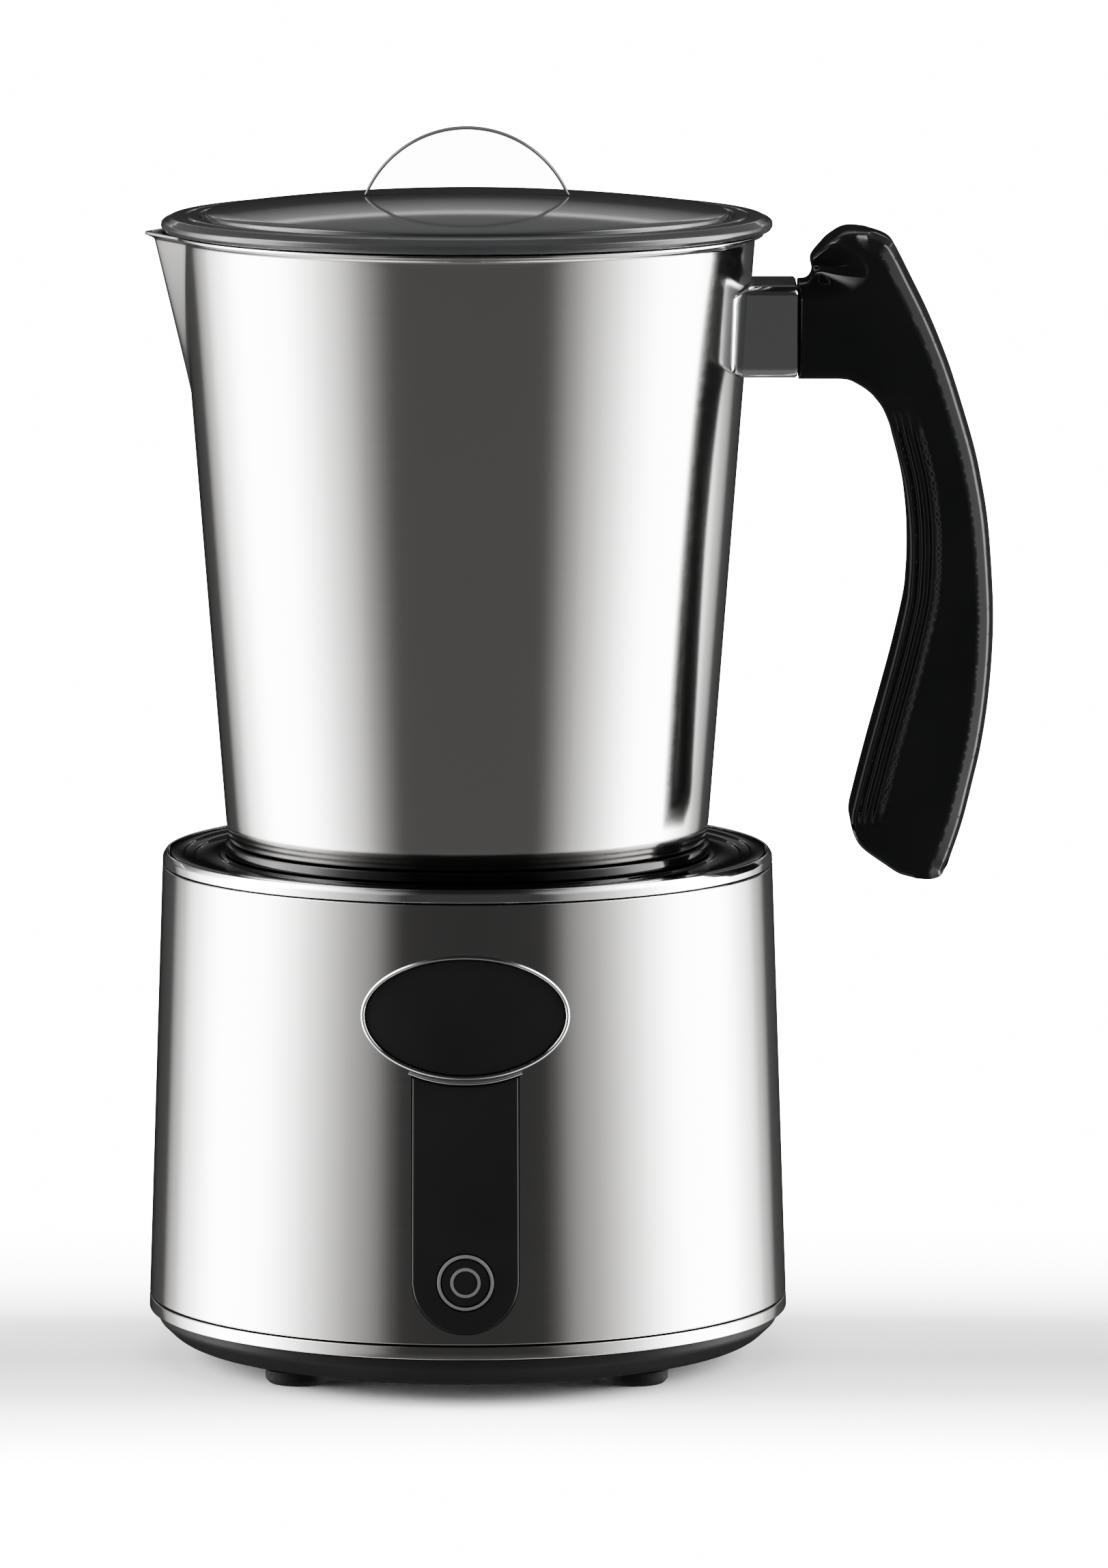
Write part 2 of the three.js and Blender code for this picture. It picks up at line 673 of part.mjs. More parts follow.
// ---------- assembly ----------
add('base', 'base_shell', baseShell(), satinSteel());
add('base', 'top_ring', topRing(), brightSteel());
add('base', 'lower_band', lowerBand(), satinSteel());
add('base', 'deck', deck(), glossBlack());
add('base', 'chassis', chassis(), mattBlack());
add('base', 'motor_frame', motorFrame(), plastic(0x3a3c3e, 0.5));
add('base', 'motor_can', motorCan(), metal(0x9c9ea0, 0.35));
add('base', 'coil_former', coilFormer(), plastic(0x2b2622, 0.6));
add('base', 'induction_coil', inductionCoil(), metal(0xb46a34, 0.35));
add('base', 'temperature_sensor', rod(2.4, 88.5, 93.7, ...polar(23.9, 45)), metal(0xb8babc, 0.3));
add('base', 'power_board', block(-41, 41, -20, 20, 17.6, 19.2), boardGreen());
add('base', 'capacitor', rod(6.5, 19.5, 43, 30, 7), plastic(0x20242c, 0.35));
add('base', 'filter_choke', new THREE.TorusGeometry(4.6, 2.2, 7, 14).translate(30, -9, 21.7),
  metal(0xa9622f, 0.4));
add('base', 'heat_sink', heatSink(), metal(0xb4b6b8, 0.4));
add('base', 'fan_frame', fanFrame(), mattBlack());
add('base', 'control_board', block(-8.2, 8.2, -49.2, -47.6, 16, 58), boardGreen());
add('base', 'tact_switch', tactSwitch(), plastic(0x2a2a2c, 0.45));
add('base', 'control_strip', controlStrip(), glossBlack());
add('base', 'button_bezel', buttonBezel(), plastic(0x8c8e90, 0.35));
add('base', 'oval_bezel', ovalBezel(), brightSteel());
add('base', 'oval_window', ovalWindow(), glossBlack());
add('base', 'cable_inlet', cableInlet(), mattBlack());

const footNames = ['front_right', 'rear_right', 'rear_left', 'front_left'];
corners.forEach(([sx, sy], i) => {
  add('base', `foot_${footNames[i]}`, foot(), plastic(0x242425, 0.85))
    .position.set(sx * FOOT_XY, sy * FOOT_XY, 0);
  add('base', `chassis_screw_${i + 1}`, chassisScrew(), screwSteel())
    .position.set(sx * POST_XY, sy * POST_XY, 0);
  add('base', `ferrite_bar_${i + 1}`, block(24, 40, -4, 4, 81.4, 85.4), plastic(0x3b3b3d, 0.7))
    .rotation.z = (i * Math.PI) / 2;
});

add('drive', 'motor_shaft', rod(1.5, 57.6, 90.0), screwSteel());
add('drive', 'magnet_carrier', magnetCarrier(), plastic(0xc9c5ba, 0.5));
[45, 135, 225, 315].forEach((turn, i) => {
  const [x, y] = polar(MAGNET_RING_R, turn);
  add('drive', `drive_magnet_${i + 1}`, rod(4.0, 88.2, 92.2), magnetGrey()).position.set(x, y, 0);
});

add('fan', 'fan_rotor', fanRotor(), mattBlack());

add('button', 'button_cap', buttonCap(), glossBlack());
add('button', 'button_light_ring',
  facingFront(ring(LIGHT_RING_IN, LIGHT_RING_R, 59.5, 60.4, 20), BUTTON_Z), plastic(0x8c8e90, 0.3));

add('jug', 'jug_body', jugBody(), satinSteel());
add('jug', 'handle_bracket', handleBracket(), satinSteel());
add('jug', 'handle_grip', handleGrip(), glossBlack());
add('jug', 'handle_screw_1', handleScrew(64.6), screwSteel());
add('jug', 'handle_screw_2', handleScrew(69.6), screwSteel());
add('jug', 'whisk_spindle', whiskSpindle(), screwSteel());

add('whisk_bush', 'whisk_bush', whiskBush(), plastic(0xd8d6cf, 0.4));
add('whisk', 'whisk_hub', whiskHub(), plastic(0x151516, 0.4));
add('whisk', 'whisk_coil', whiskCoil(), metal(0xc4c6c8, 0.2));
[0, 180].forEach((turn, i) => {
  const [x, y] = polar(MAGNET_RING_R - 1.4, turn);
  add('whisk', `whisk_magnet_${i + 1}`, rod(4.0, 99.6, 102.5), magnetGrey()).position.set(x, y, 0);
});

add('lid', 'lid_shell', lidShell(), clear(0x4b4d50, 0.12, 0.72));
add('lid', 'lid_seal', lidSeal(), plastic(0x2c2d2f, 0.6));
add('lid', 'lid_grip', lidGrip(), clear(0xeef0f2, 0.05, 0.35));

export default part;
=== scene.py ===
"""Milk frother: fine surfaces, materials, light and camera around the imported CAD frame."""

import math

import bmesh
import bpy
import numpy as np
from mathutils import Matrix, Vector
from mathutils.geometry import delaunay_2d_cdt


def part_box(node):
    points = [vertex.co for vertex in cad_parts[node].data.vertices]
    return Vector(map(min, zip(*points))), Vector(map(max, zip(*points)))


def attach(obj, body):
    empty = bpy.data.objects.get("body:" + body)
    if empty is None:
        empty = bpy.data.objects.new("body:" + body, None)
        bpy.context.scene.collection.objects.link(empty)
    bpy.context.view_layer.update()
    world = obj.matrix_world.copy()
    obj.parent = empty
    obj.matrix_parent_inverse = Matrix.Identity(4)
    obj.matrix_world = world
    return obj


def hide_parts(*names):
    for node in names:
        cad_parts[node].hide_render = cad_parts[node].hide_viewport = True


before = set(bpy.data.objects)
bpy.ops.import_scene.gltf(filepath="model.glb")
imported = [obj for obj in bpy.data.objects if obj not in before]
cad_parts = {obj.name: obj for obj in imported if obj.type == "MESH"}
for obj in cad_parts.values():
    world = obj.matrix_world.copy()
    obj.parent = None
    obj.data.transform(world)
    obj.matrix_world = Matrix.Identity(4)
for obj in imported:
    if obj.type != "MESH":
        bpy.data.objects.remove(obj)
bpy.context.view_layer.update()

# ---------- places taken from the frame ----------
MM = 0.001
deck_lo, deck_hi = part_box("deck")
AXIS_X = (deck_lo.x + deck_hi.x) / 2 / MM      # the round body's axis, in mm
TAU = math.tau
OVAL_Z = 73.1                  # height of the centre of the oval on the front
BUTTON_Z = 23.8                # height of the push button
INLET_Z = 24.5                 # height of the closed inlet at the back
FOOT_XY = 31.7                 # feet and floor screws stand on two squares about the axis
FLOOR_SCREW_XY = 24.0
HANDLE_SCREWS_X = (64.6, 69.6)
LID_CROWN_Z = 220.7            # top of the lid's shallow crown
TAB_RADIUS = 20.9
TAB_CENTRE_Z = 233.2 - TAB_RADIUS


def base_radius(z):
    """radius of the base's cone, as in the CAD"""
    return 60.5 + (z - 9.0) * (57.6 - 60.5) / (95.5 - 9.0)


def jug_radius(z):
    """outer radius of the jug's cone, as in the CAD"""
    return 45.32 + 0.0776 * (z - 98.7)


# ---------- mesh helpers ----------
def to_world(points):
    """mm about the round body's axis to metres in the shared frame"""
    p = np.asarray(points, float).reshape(-1, 3)
    return (p + (AXIS_X, 0.0, 0.0)) * MM


def make_object(name, verts, faces, material, sharp=40.0):
    mesh = bpy.data.meshes.new(name)
    mesh.from_pydata(to_world(verts).tolist(), [], faces)
    bm = bmesh.new()
    bm.from_mesh(mesh)
    bmesh.ops.remove_doubles(bm, verts=bm.verts, dist=1e-7)
    bmesh.ops.dissolve_degenerate(bm, dist=1e-8, edges=bm.edges)
    bmesh.ops.recalc_face_normals(bm, faces=bm.faces)
    bm.to_mesh(mesh)
    bm.free()
    mesh.shade_smooth()
    mesh.set_sharp_from_angle(angle=math.radians(sharp))
    mesh.materials.append(material)
    obj = bpy.data.objects.new(name, mesh)
    bpy.context.scene.collection.objects.link(obj)
    return obj


def settle(obj, body, slot, *nodes):
    """the piece rides a body and stands for CAD nodes, whose parts are hidden; slot is not used"""
    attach(obj, body)
    if nodes:
        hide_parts(*nodes)


def rounded(corners, closed=False, step=14.0):
    """a polyline whose corners (x, y, radius) are rounded with arcs"""
    pts = [np.array(c[:2], float) for c in corners]
    radii = [c[2] if len(c) > 2 else 0.0 for c in corners]
    n = len(pts)
    out = []
    for i in range(n):
        if radii[i] <= 0 or (not closed and i in (0, n - 1)):
            out.append(pts[i])
            continue
        a, p, b = pts[i - 1], pts[i], pts[(i + 1) % n]
        u, v = a - p, b - p
        lu, lv = np.linalg.norm(u), np.linalg.norm(v)
        u, v = u / lu, v / lv
        angle = math.acos(max(-1.0, min(1.0, float(u @ v))))
        if angle > math.radians(178):
            out.append(p)
            continue
        reach = min(radii[i] / math.tan(angle / 2), 0.49 * lu, 0.49 * lv)
        radius = reach * math.tan(angle / 2)
        mid = (u + v) / np.linalg.norm(u + v)
        centre = p + mid * (radius / math.sin(angle / 2))
        start = p + u * reach - centre
        end = p + v * reach - centre
        sweep = math.pi - angle
        turn = 1.0 if start[0] * end[1] - start[1] * end[0] > 0 else -1.0
        count = max(2, int(math.ceil(math.degrees(sweep) / step)))
        for k in range(count + 1):
            t = turn * sweep * k / count
            c, s = math.cos(t), math.sin(t)
            out.append(centre + (start[0] * c - start[1] * s, start[0] * s + start[1] * c))
    return [tuple(p) for p in out]


def lathe(profile, segments=256, closed=False):
    """(radius, z) points turned about the axis"""
    verts, faces, rings = [], [], []
    for r, z in profile:
        if r < 1e-6:
            rings.append([len(verts)])
            verts.append((0.0, 0.0, z))
            continue
        rings.append(list(range(len(verts), len(verts) + segments)))
        for k in range(segments):
            a = TAU * k / segments
            verts.append((r * math.cos(a), r * math.sin(a), z))
    pairs = list(zip(rings, rings[1:]))
    if closed:
        pairs.append((rings[-1], rings[0]))
    for low, high in pairs:
        for k in range(segments):
            m = (k + 1) % segments
            if len(low) == 1 and len(high) == 1:
                continue
            if len(low) == 1:
                faces.append((low[0], high[m], high[k]))
            elif len(high) == 1:
                faces.append((low[k], low[m], high[0]))
            else:
                faces.append((low[k], low[m], high[m], high[k]))
    return verts, faces


def moved(verts, dx, dy=0.0):
    return [(x + dx, y + dy, z) for x, y, z in verts]


def facing_front(verts, z):
    """a solid made about Z turned so that its +Z end faces -Y, centred at height z"""
    return [(x, -w, y + z) for x, y, w in verts]


def facing_rear(verts, z):
    """the same, turned so that the +Z end faces +Y"""
    return [(x, w, z - y) for x, y, w in verts]


def box_mesh(x0, x1, y0, y1, z0, z1):
    verts = [(x, y, z) for z in (z0, z1) for y in (y0, y1) for x in (x0, x1)]
    faces = [(0, 2, 3, 1), (4, 5, 7, 6), (0, 1, 5, 4), (2, 6, 7, 3), (0, 4, 6, 2), (1, 3, 7, 5)]
    return verts, faces


def prism(outline, y0, y1):
    """an outline in X and Z carried along Y"""
    n = len(outline)
    verts = [(x, y0, z) for x, z in outline] + [(x, y1, z) for x, z in outline]
    faces = [tuple(range(n)), tuple(range(2 * n - 1, n - 1, -1))]
    for i in range(n):
        j = (i + 1) % n
        faces.append((i, i + n, j + n, j))
    return verts, faces


def carve(obj, cutters):
    """cuts closed meshes (verts, faces) out of obj, for good"""
    made = []
    for i, (verts, faces) in enumerate(cutters):
        tool = make_object(f"cutter_{i}", verts, faces, obj.data.materials[0])
        mod = obj.modifiers.new(f"cut_{i}", "BOOLEAN")
        mod.operation = "DIFFERENCE"
        mod.solver = "EXACT"
        mod.object = tool
        made.append(tool)
    bpy.context.view_layer.update()
    graph = bpy.context.evaluated_depsgraph_get()
    mesh = bpy.data.meshes.new_from_object(obj.evaluated_get(graph))
    obj.modifiers.clear()
    obj.data = mesh
    for tool in made:
        bpy.data.objects.remove(tool)


def exact_normals(obj, slope, tolerance=0.985):
    """gives a carved cone its true smooth normals, and leaves the cut faces flat"""
    mesh = obj.data
    mesh.shade_smooth()
    loops = [(0.0, 0.0, 0.0)] * len(mesh.loops)
    for poly in mesh.polygons:
        flat = poly.normal
        for li in poly.loop_indices:
            co = mesh.vertices[mesh.loops[li].vertex_index].co / MM
            x, y = co.x - AXIS_X, co.y
            r = math.hypot(x, y)
            n = flat
            if r > 1e-6:
                out = Vector((x / r, y / r, slope)).normalized()
                if out.dot(flat) > tolerance:
                    n = out
                elif out.dot(flat) < -tolerance:
                    n = -out
            loops[li] = tuple(n)
    mesh.normals_split_custom_set(loops)


def segment_distance(points, line, closed=True):
    """distance of each 2-D point to a polyline"""
    p = np.asarray(points, float)
    a = np.asarray(line, float)
    b = np.roll(a, -1, axis=0) if closed else a[1:]
    a = a if closed else a[:-1]
    d = b - a
    length = np.maximum((d ** 2).sum(1), 1e-12)
    out = np.empty(len(p))
    for i in range(0, len(p), 1500):
        q = p[i:i + 1500, None, :] - a[None]
        t = np.clip((q * d[None]).sum(2) / length, 0, 1)
        out[i:i + 1500] = np.sqrt(((q - t[..., None] * d[None]) ** 2).sum(2)).min(1)
    return out


def inside(points, line):
    """which points lie inside a closed line"""
    p = np.asarray(points, float)
    a = np.asarray(line, float)
    b = np.roll(a, -1, axis=0)
    out = np.zeros(len(p), bool)
    for i in range(0, len(p), 1500):
        x, y = p[i:i + 1500, 0:1], p[i:i + 1500, 1:2]
        crosses = (a[:, 1] > y) != (b[:, 1] > y)
        with np.errstate(divide="ignore", invalid="ignore"):
            at = a[:, 0] + (y - a[:, 1]) * (b[:, 0] - a[:, 0]) / (b[:, 1] - a[:, 1])
        out[i:i + 1500] = (crosses & (x < at)).sum(1) % 2 == 1
    return out


def resample(line, spacing):
    """even points along a closed line"""
    a = np.asarray(line, float)
    a = np.vstack([a, a[:1]])
    d = np.linalg.norm(np.diff(a, axis=0), axis=1)
    s = np.concatenate([[0], np.cumsum(d)])
    count = max(8, int(round(s[-1] / spacing)))
    t = np.linspace(0, s[-1], count + 1)[:-1]
    return np.column_stack([np.interp(t, s, a[:, 0]), np.interp(t, s, a[:, 1])])


def smooth_line(points, spacing):
    """an open Catmull-Rom line through the points"""
    p = np.asarray(points, float)
    n = len(p)
    out = []
    for i in range(n - 1):
        p0 = p[i - 1] if i > 0 else 2 * p[0] - p[1]
        p1, p2 = p[i], p[i + 1]
        p3 = p[i + 2] if i + 2 < n else 2 * p[-1] - p[-2]
        steps = max(2, int(np.linalg.norm(p2 - p1) / spacing))
        for k in range(steps):
            t = k / steps
            out.append(0.5 * ((2 * p1) + (p2 - p0) * t + (2 * p0 - 5 * p1 + 4 * p2 - p3) * t ** 2
                              + (3 * p1 - p0 - 3 * p2 + p3) * t ** 3))
    out.append(p[-1])
    return np.array(out)


def offset_points(line, distance, closed=True):
    """points moved to the left of an anticlockwise line by a distance"""
    a = np.asarray(line, float)
    if closed:
        t = np.roll(a, -1, axis=0) - np.roll(a, 1, axis=0)
    else:
        t = np.gradient(a, axis=0)
    t /= np.linalg.norm(t, axis=1)[:, None]
    return a + np.column_stack([-t[:, 1], t[:, 0]]) * distance


def plate(outline, spacing, rim, height, depth=None, tracks=(), rim_steps=7):
    """a closed body over a flat outline. height(points, distance from the edge) is the front
    face's height; depth is the back face's height, or None for a mirrored back."""
    line = resample(outline, spacing)
    area = 0.5 * np.sum(line[:, 0] * np.roll(line[:, 1], -1) - np.roll(line[:, 0], -1) * line[:, 1])
    if area < 0:
        line = line[::-1]
    n = len(line)
    extra = []
    for k in range(1, rim_steps + 1):
        d = rim * (1 - math.cos(k / rim_steps * math.pi / 2))
        pts = offset_points(line, d)
        pts = pts[inside(pts, line)]
        extra.append(pts[segment_distance(pts, line) > d - 0.03])
    for path in tracks:
        pts = np.asarray(path, float)
        pts = pts[inside(pts, line)]
        extra.append(pts[segment_distance(pts, line) > 0.12])
    near = np.vstack(extra)
    lo, hi = line.min(0), line.max(0)
    step = spacing * 1.5
    rows = np.arange(lo[1], hi[1], step * 0.866)
    grid = np.array([(lo[0] + (i % 2) * step / 2 + k * step, y)
                     for i, y in enumerate(rows) for k in range(int((hi[0] - lo[0]) / step) + 2)])
    grid = grid[inside(grid, line)]
    grid = grid[segment_distance(grid, line) > rim + step * 0.4]
    if len(tracks):
        every = np.vstack(extra[rim_steps:])
        keep = np.ones(len(grid), bool)
        for i in range(0, len(grid), 1000):
            gap = grid[i:i + 1000, None, :] - every[None]
            keep[i:i + 1000] = np.sqrt((gap ** 2).sum(2)).min(1) > step * 0.45
        grid = grid[keep]
    points = np.vstack([line, near, grid])
    flat = [Vector((float(x), float(y))) for x, y in points]
    made = delaunay_2d_cdt(flat, [], [list(range(n))], 1, 1e-5)
    uv = np.array([tuple(v) for v in made[0]])
    faces = [tuple(f) for f in made[2]]
    distance = segment_distance(uv, line)
    distance[distance < 1e-4] = 0
    top = height(uv, distance)
    m = len(uv)
    low = -top if depth is None else np.full(m, float(depth))
    verts = np.vstack([np.column_stack([uv, top]), np.column_stack([uv, low])])
    out = faces + [tuple(reversed([i + m for i in f])) for f in faces]
    # walls between front and back, along every edge that has a face on one side only
    used = {}
    for f in faces:
        for i in range(len(f)):
            used[(f[i], f[(i + 1) % len(f)])] = True
    for a, b in used:
        if (b, a) not in used:
            out.append((b, a, a + m, b + m))
    return verts, out


def rim_drop(distance, radius):
    """how far a rounded rim falls below the face at a distance in from its edge"""
    d = np.clip(distance, 0, radius)
    return radius - np.sqrt(np.maximum(radius ** 2 - (radius - d) ** 2, 0))


def on_base(verts):
    """(x, z, height over the base's skin) to a point on the front of the base"""
    out = []
    for x, z, h in verts:
        r = base_radius(z)
        a = math.asin(max(-1, min(1, x / r)))
        out.append(((r + h) * math.sin(a), -(r + h) * math.cos(a), z))
    return out


# ---------- materials ----------
def new_material(name):
    mat = bpy.data.materials.new(name)
    mat.use_nodes = True
    nodes, links = mat.node_tree.nodes, mat.node_tree.links
    nodes.clear()
    out = nodes.new("ShaderNodeOutputMaterial")
    bsdf = nodes.new("ShaderNodeBsdfPrincipled")
    links.new(bsdf.outputs["BSDF"], out.inputs["Surface"])
    return mat, nodes, links, bsdf


def object_noise(nodes, links, scale, stretch=(1, 1, 1), detail=3.0, rough=0.5):
    coord = nodes.new("ShaderNodeTexCoord")
    mapping = nodes.new("ShaderNodeMapping")
    mapping.inputs["Scale"].default_value = stretch
    noise = nodes.new("ShaderNodeTexNoise")
    noise.inputs["Scale"].default_value = scale
    noise.inputs["Detail"].default_value = detail
    noise.inputs["Roughness"].default_value = rough
    links.new(coord.outputs["Object"], mapping.inputs["Vector"])
    links.new(mapping.outputs["Vector"], noise.inputs["Vector"])
    return noise


def ramp_between(nodes, links, source, low, high):
    """a ramp from low to high over the middle of a noise's range; each is a grey or a colour"""
    ramp = nodes.new("ShaderNodeValToRGB")
    ramp.color_ramp.elements[0].position = 0.3
    ramp.color_ramp.elements[1].position = 0.7
    low = (low,) * 3 if not isinstance(low, tuple) else low
    high = (high,) * 3 if not isinstance(high, tuple) else high
    ramp.color_ramp.elements[0].color = (*low, 1)
    ramp.color_ramp.elements[1].color = (*high, 1)
    links.new(source, ramp.inputs["Fac"])
    return ramp.outputs["Color"]


def add_bump(nodes, links, bsdf, source, strength, distance):
    bump = nodes.new("ShaderNodeBump")
    bump.inputs["Strength"].default_value = strength
    bump.inputs["Distance"].default_value = distance
    links.new(source, bump.inputs["Height"])
    links.new(bump.outputs["Normal"], bsdf.inputs["Normal"])


def metal(name, low, high, rough_low, rough_high, brushed, scale, bump):
    """metal with brushing: stretch gives the direction of the fine lines"""
    mat, nodes, links, bsdf = new_material(name)
    bsdf.inputs["Metallic"].default_value = 1.0
    lines = object_noise(nodes, links, scale, brushed, 4.0, 0.6)
    cloud = object_noise(nodes, links, 18.0, (1, 1, 1), 2.0)
    links.new(ramp_between(nodes, links, cloud.outputs["Fac"], low, high), bsdf.inputs["Base Color"])
    links.new(ramp_between(nodes, links, lines.outputs["Fac"], rough_low, rough_high),
              bsdf.inputs["Roughness"])
    if bump:
        add_bump(nodes, links, bsdf, lines.outputs["Fac"], bump, 0.0002)
    return mat


def plastic(name, low, high, rough_low, rough_high, scale=60, grain=900, bump=0.0, gloss=0.5):
    """moulded plastic: a faint cloud of colour and a fine grain in its gloss"""
    mat, nodes, links, bsdf = new_material(name)
    cloud = object_noise(nodes, links, scale, (1, 1, 1), 3.0)
    fine = object_noise(nodes, links, grain, (1, 1, 1), 2.0)
    links.new(ramp_between(nodes, links, cloud.outputs["Fac"], low, high), bsdf.inputs["Base Color"])
    links.new(ramp_between(nodes, links, fine.outputs["Fac"], rough_low, rough_high),
              bsdf.inputs["Roughness"])
    bsdf.inputs["Specular IOR Level"].default_value = gloss
    if bump:
        add_bump(nodes, links, bsdf, fine.outputs["Fac"], bump, 0.0001)
    return mat


STEEL = metal("satin_steel", (0.625, 0.61, 0.595), (0.645, 0.63, 0.615), 0.105, 0.125, (6, 6, 90), 22, 0.008)
BRIGHT = metal("bright_ring", (0.80, 0.80, 0.80), (0.86, 0.86, 0.86), 0.05, 0.08, (1, 1, 20), 60, 0.0)
BRACKET = metal("bracket_steel", (0.55, 0.555, 0.56), (0.57, 0.575, 0.58), 0.12, 0.13, (4, 40, 40), 30, 0.0)
GLOSS = plastic("gloss_black", (0.0046, 0.0046, 0.0048), (0.0056, 0.0056, 0.0058), 0.06, 0.075, gloss=0.05)
DECK = plastic("deck_black", (0.0006, 0.0006, 0.0006), (0.0009, 0.0009, 0.0009), 0.045, 0.06, gloss=0.14)
GRIP = plastic("grip_black", (0.0030, 0.0031, 0.0032), (0.0038, 0.0039, 0.0040), 0.045, 0.055, gloss=0.095)
CHASSIS = plastic("chassis_black", (0.006, 0.006, 0.006), (0.008, 0.008, 0.008), 0.36, 0.44, 60, 1500, 0.03, 0.03)
RUBBER = plastic("foot_rubber", (0.005, 0.005, 0.005), (0.008, 0.008, 0.008), 0.7, 0.85, 80, 1400, 0.15, 0.1)
FOOT = plastic("foot_black", (0.0010, 0.0010, 0.0010), (0.0016, 0.0016, 0.0016), 0.07, 0.09, gloss=0.15)
GREY_PRINT = plastic("grey_ring", (0.055, 0.057, 0.058), (0.065, 0.067, 0.068), 0.2, 0.26, gloss=0.1)
SCREW = metal("screw_zinc", (0.50, 0.51, 0.52), (0.62, 0.62, 0.62), 0.28, 0.42, (1, 1, 1), 400, 0.05)


def lid_material():
    mat, nodes, links, bsdf = new_material("smoky_lid")
    cloud = object_noise(nodes, links, 25.0, (1, 1, 1), 2.0)
    fine = object_noise(nodes, links, 700.0, (1, 1, 1), 2.0)
    tint = ramp_between(nodes, links, cloud.outputs["Fac"], (0.0150, 0.0153, 0.0157), (0.0180, 0.0183, 0.0187))
    links.new(tint, bsdf.inputs["Base Color"])
    links.new(ramp_between(nodes, links, fine.outputs["Fac"], 0.06, 0.075), bsdf.inputs["Roughness"])
    bsdf.inputs["Alpha"].default_value = 0.96
    bsdf.inputs["Specular IOR Level"].default_value = 0.32
    return mat


def tab_material():
    """clear acrylic: nothing but gloss over the face, and a painted dark edge, where the light-gathering rim of
    the acrylic shows as shade
    """
    mat, nodes, links, bsdf = new_material("clear_tab")
    bsdf.inputs["Base Color"].default_value = (0.05, 0.052, 0.054, 1)
    coord = nodes.new("ShaderNodeTexCoord")
    split = nodes.new("ShaderNodeSeparateXYZ")
    links.new(coord.outputs["Object"], split.inputs["Vector"])
    flat = nodes.new("ShaderNodeCombineXYZ")
    links.new(split.outputs["X"], flat.inputs["X"])
    links.new(split.outputs["Z"], flat.inputs["Z"])
    away = nodes.new("ShaderNodeVectorMath")
    away.operation = "DISTANCE"
    away.inputs[1].default_value = (AXIS_X * MM, 0, TAB_CENTRE_Z * MM)
    links.new(flat.outputs["Vector"], away.inputs[0])
    scaled = nodes.new("ShaderNodeMath")
    scaled.operation = "DIVIDE"
    scaled.inputs[1].default_value = TAB_RADIUS * MM
    links.new(away.outputs["Value"], scaled.inputs[0])
    # painted shade: the outermost rim of the tab turns opaque and dark
    ramp = nodes.new("ShaderNodeValToRGB")
    ramp.color_ramp.elements[0].position = 0.972
    ramp.color_ramp.elements[0].color = (0.025, 0.025, 0.025, 1)
    ramp.color_ramp.elements[1].position = 0.98
    ramp.color_ramp.elements[1].color = (0.992, 0.992, 0.992, 1)
    links.new(scaled.outputs["Value"], ramp.inputs["Fac"])
    links.new(ramp.outputs["Color"], bsdf.inputs["Alpha"])
    fine = object_noise(nodes, links, 500.0, (1, 1, 1), 2.0)
    links.new(ramp_between(nodes, links, fine.outputs["Fac"], 0.03, 0.07), bsdf.inputs["Roughness"])
    return mat


# ---------- base: round skin ----------
def base_shell():
    profile = rounded([
        (base_radius(12.0) - 1.2, 12.0), (base_radius(12.0), 12.0, 0.35),
        (base_radius(93.9), 93.9, 0.3),
        (55.0, 93.9), (55.0, 92.7), (base_radius(93.9) - 1.2, 92.7),
    ])
    obj = make_object("shell_skin", *lathe(profile, 288, closed=True), STEEL)
    oval = oval_line(18.8, 11.0, 96)
    arc = [(9.87 * math.cos(a), 23.97 + 9.87 * math.sin(a)) for a in np.linspace(-math.pi, 0, 33)]
    strip = [(-10.0, 68.0)] + [(x * 10.0 / 9.87, z - 0.1) for x, z in arc] + [(10.0, 68.0)]
    inlet = [(7.1 * math.cos(TAU * k / 64), INLET_Z + 7.1 * math.sin(TAU * k / 64)) for k in range(64)]
    carve(obj, [prism(oval, -70, -40), prism(strip, -70, -40), prism(inlet, 40, 70)])
    exact_normals(obj, (60.5 - 57.6) / 86.5)
    settle(obj, "base", "base_shell", "base_shell")


def base_rings():
    top = rounded([
        (56.6, 94.2), (57.64, 94.2, 0.15), (57.6, 95.55, 1.1), (57.0, 96.5, 0.3), (56.6, 96.45),
    ], step=10)
    settle(make_object("top_bead", *lathe(top, 288, True), BRIGHT, 60), "base", "top_ring", "top_ring")
    low = rounded([
        (58.8, 9.3), (60.48, 9.3, 0.25), (base_radius(11.7), 11.7, 0.3), (58.8, 11.7),
    ])
    settle(make_object("band", *lathe(low, 288, True), STEEL), "base", "lower_band", "lower_band")


def deck_top():
    profile = rounded([
        (0, 96.0), (46.8, 96.0, 0.3), (47.15, 95.55, 0.3), (51.35, 95.55, 0.3), (51.65, 96.0, 0.3),
        (53.3, 96.0, 0.25), (53.6, 96.4, 0.25), (56.25, 96.4, 0.3), (56.3, 94.2), (54.6, 94.2),
        (54.6, 90.0), (53.0, 90.0), (53.0, 94.0), (0, 94.0),
    ], step=18)
    settle(make_object("deck_top", *lathe(profile, 288), DECK, 50), "base", "deck", "deck")


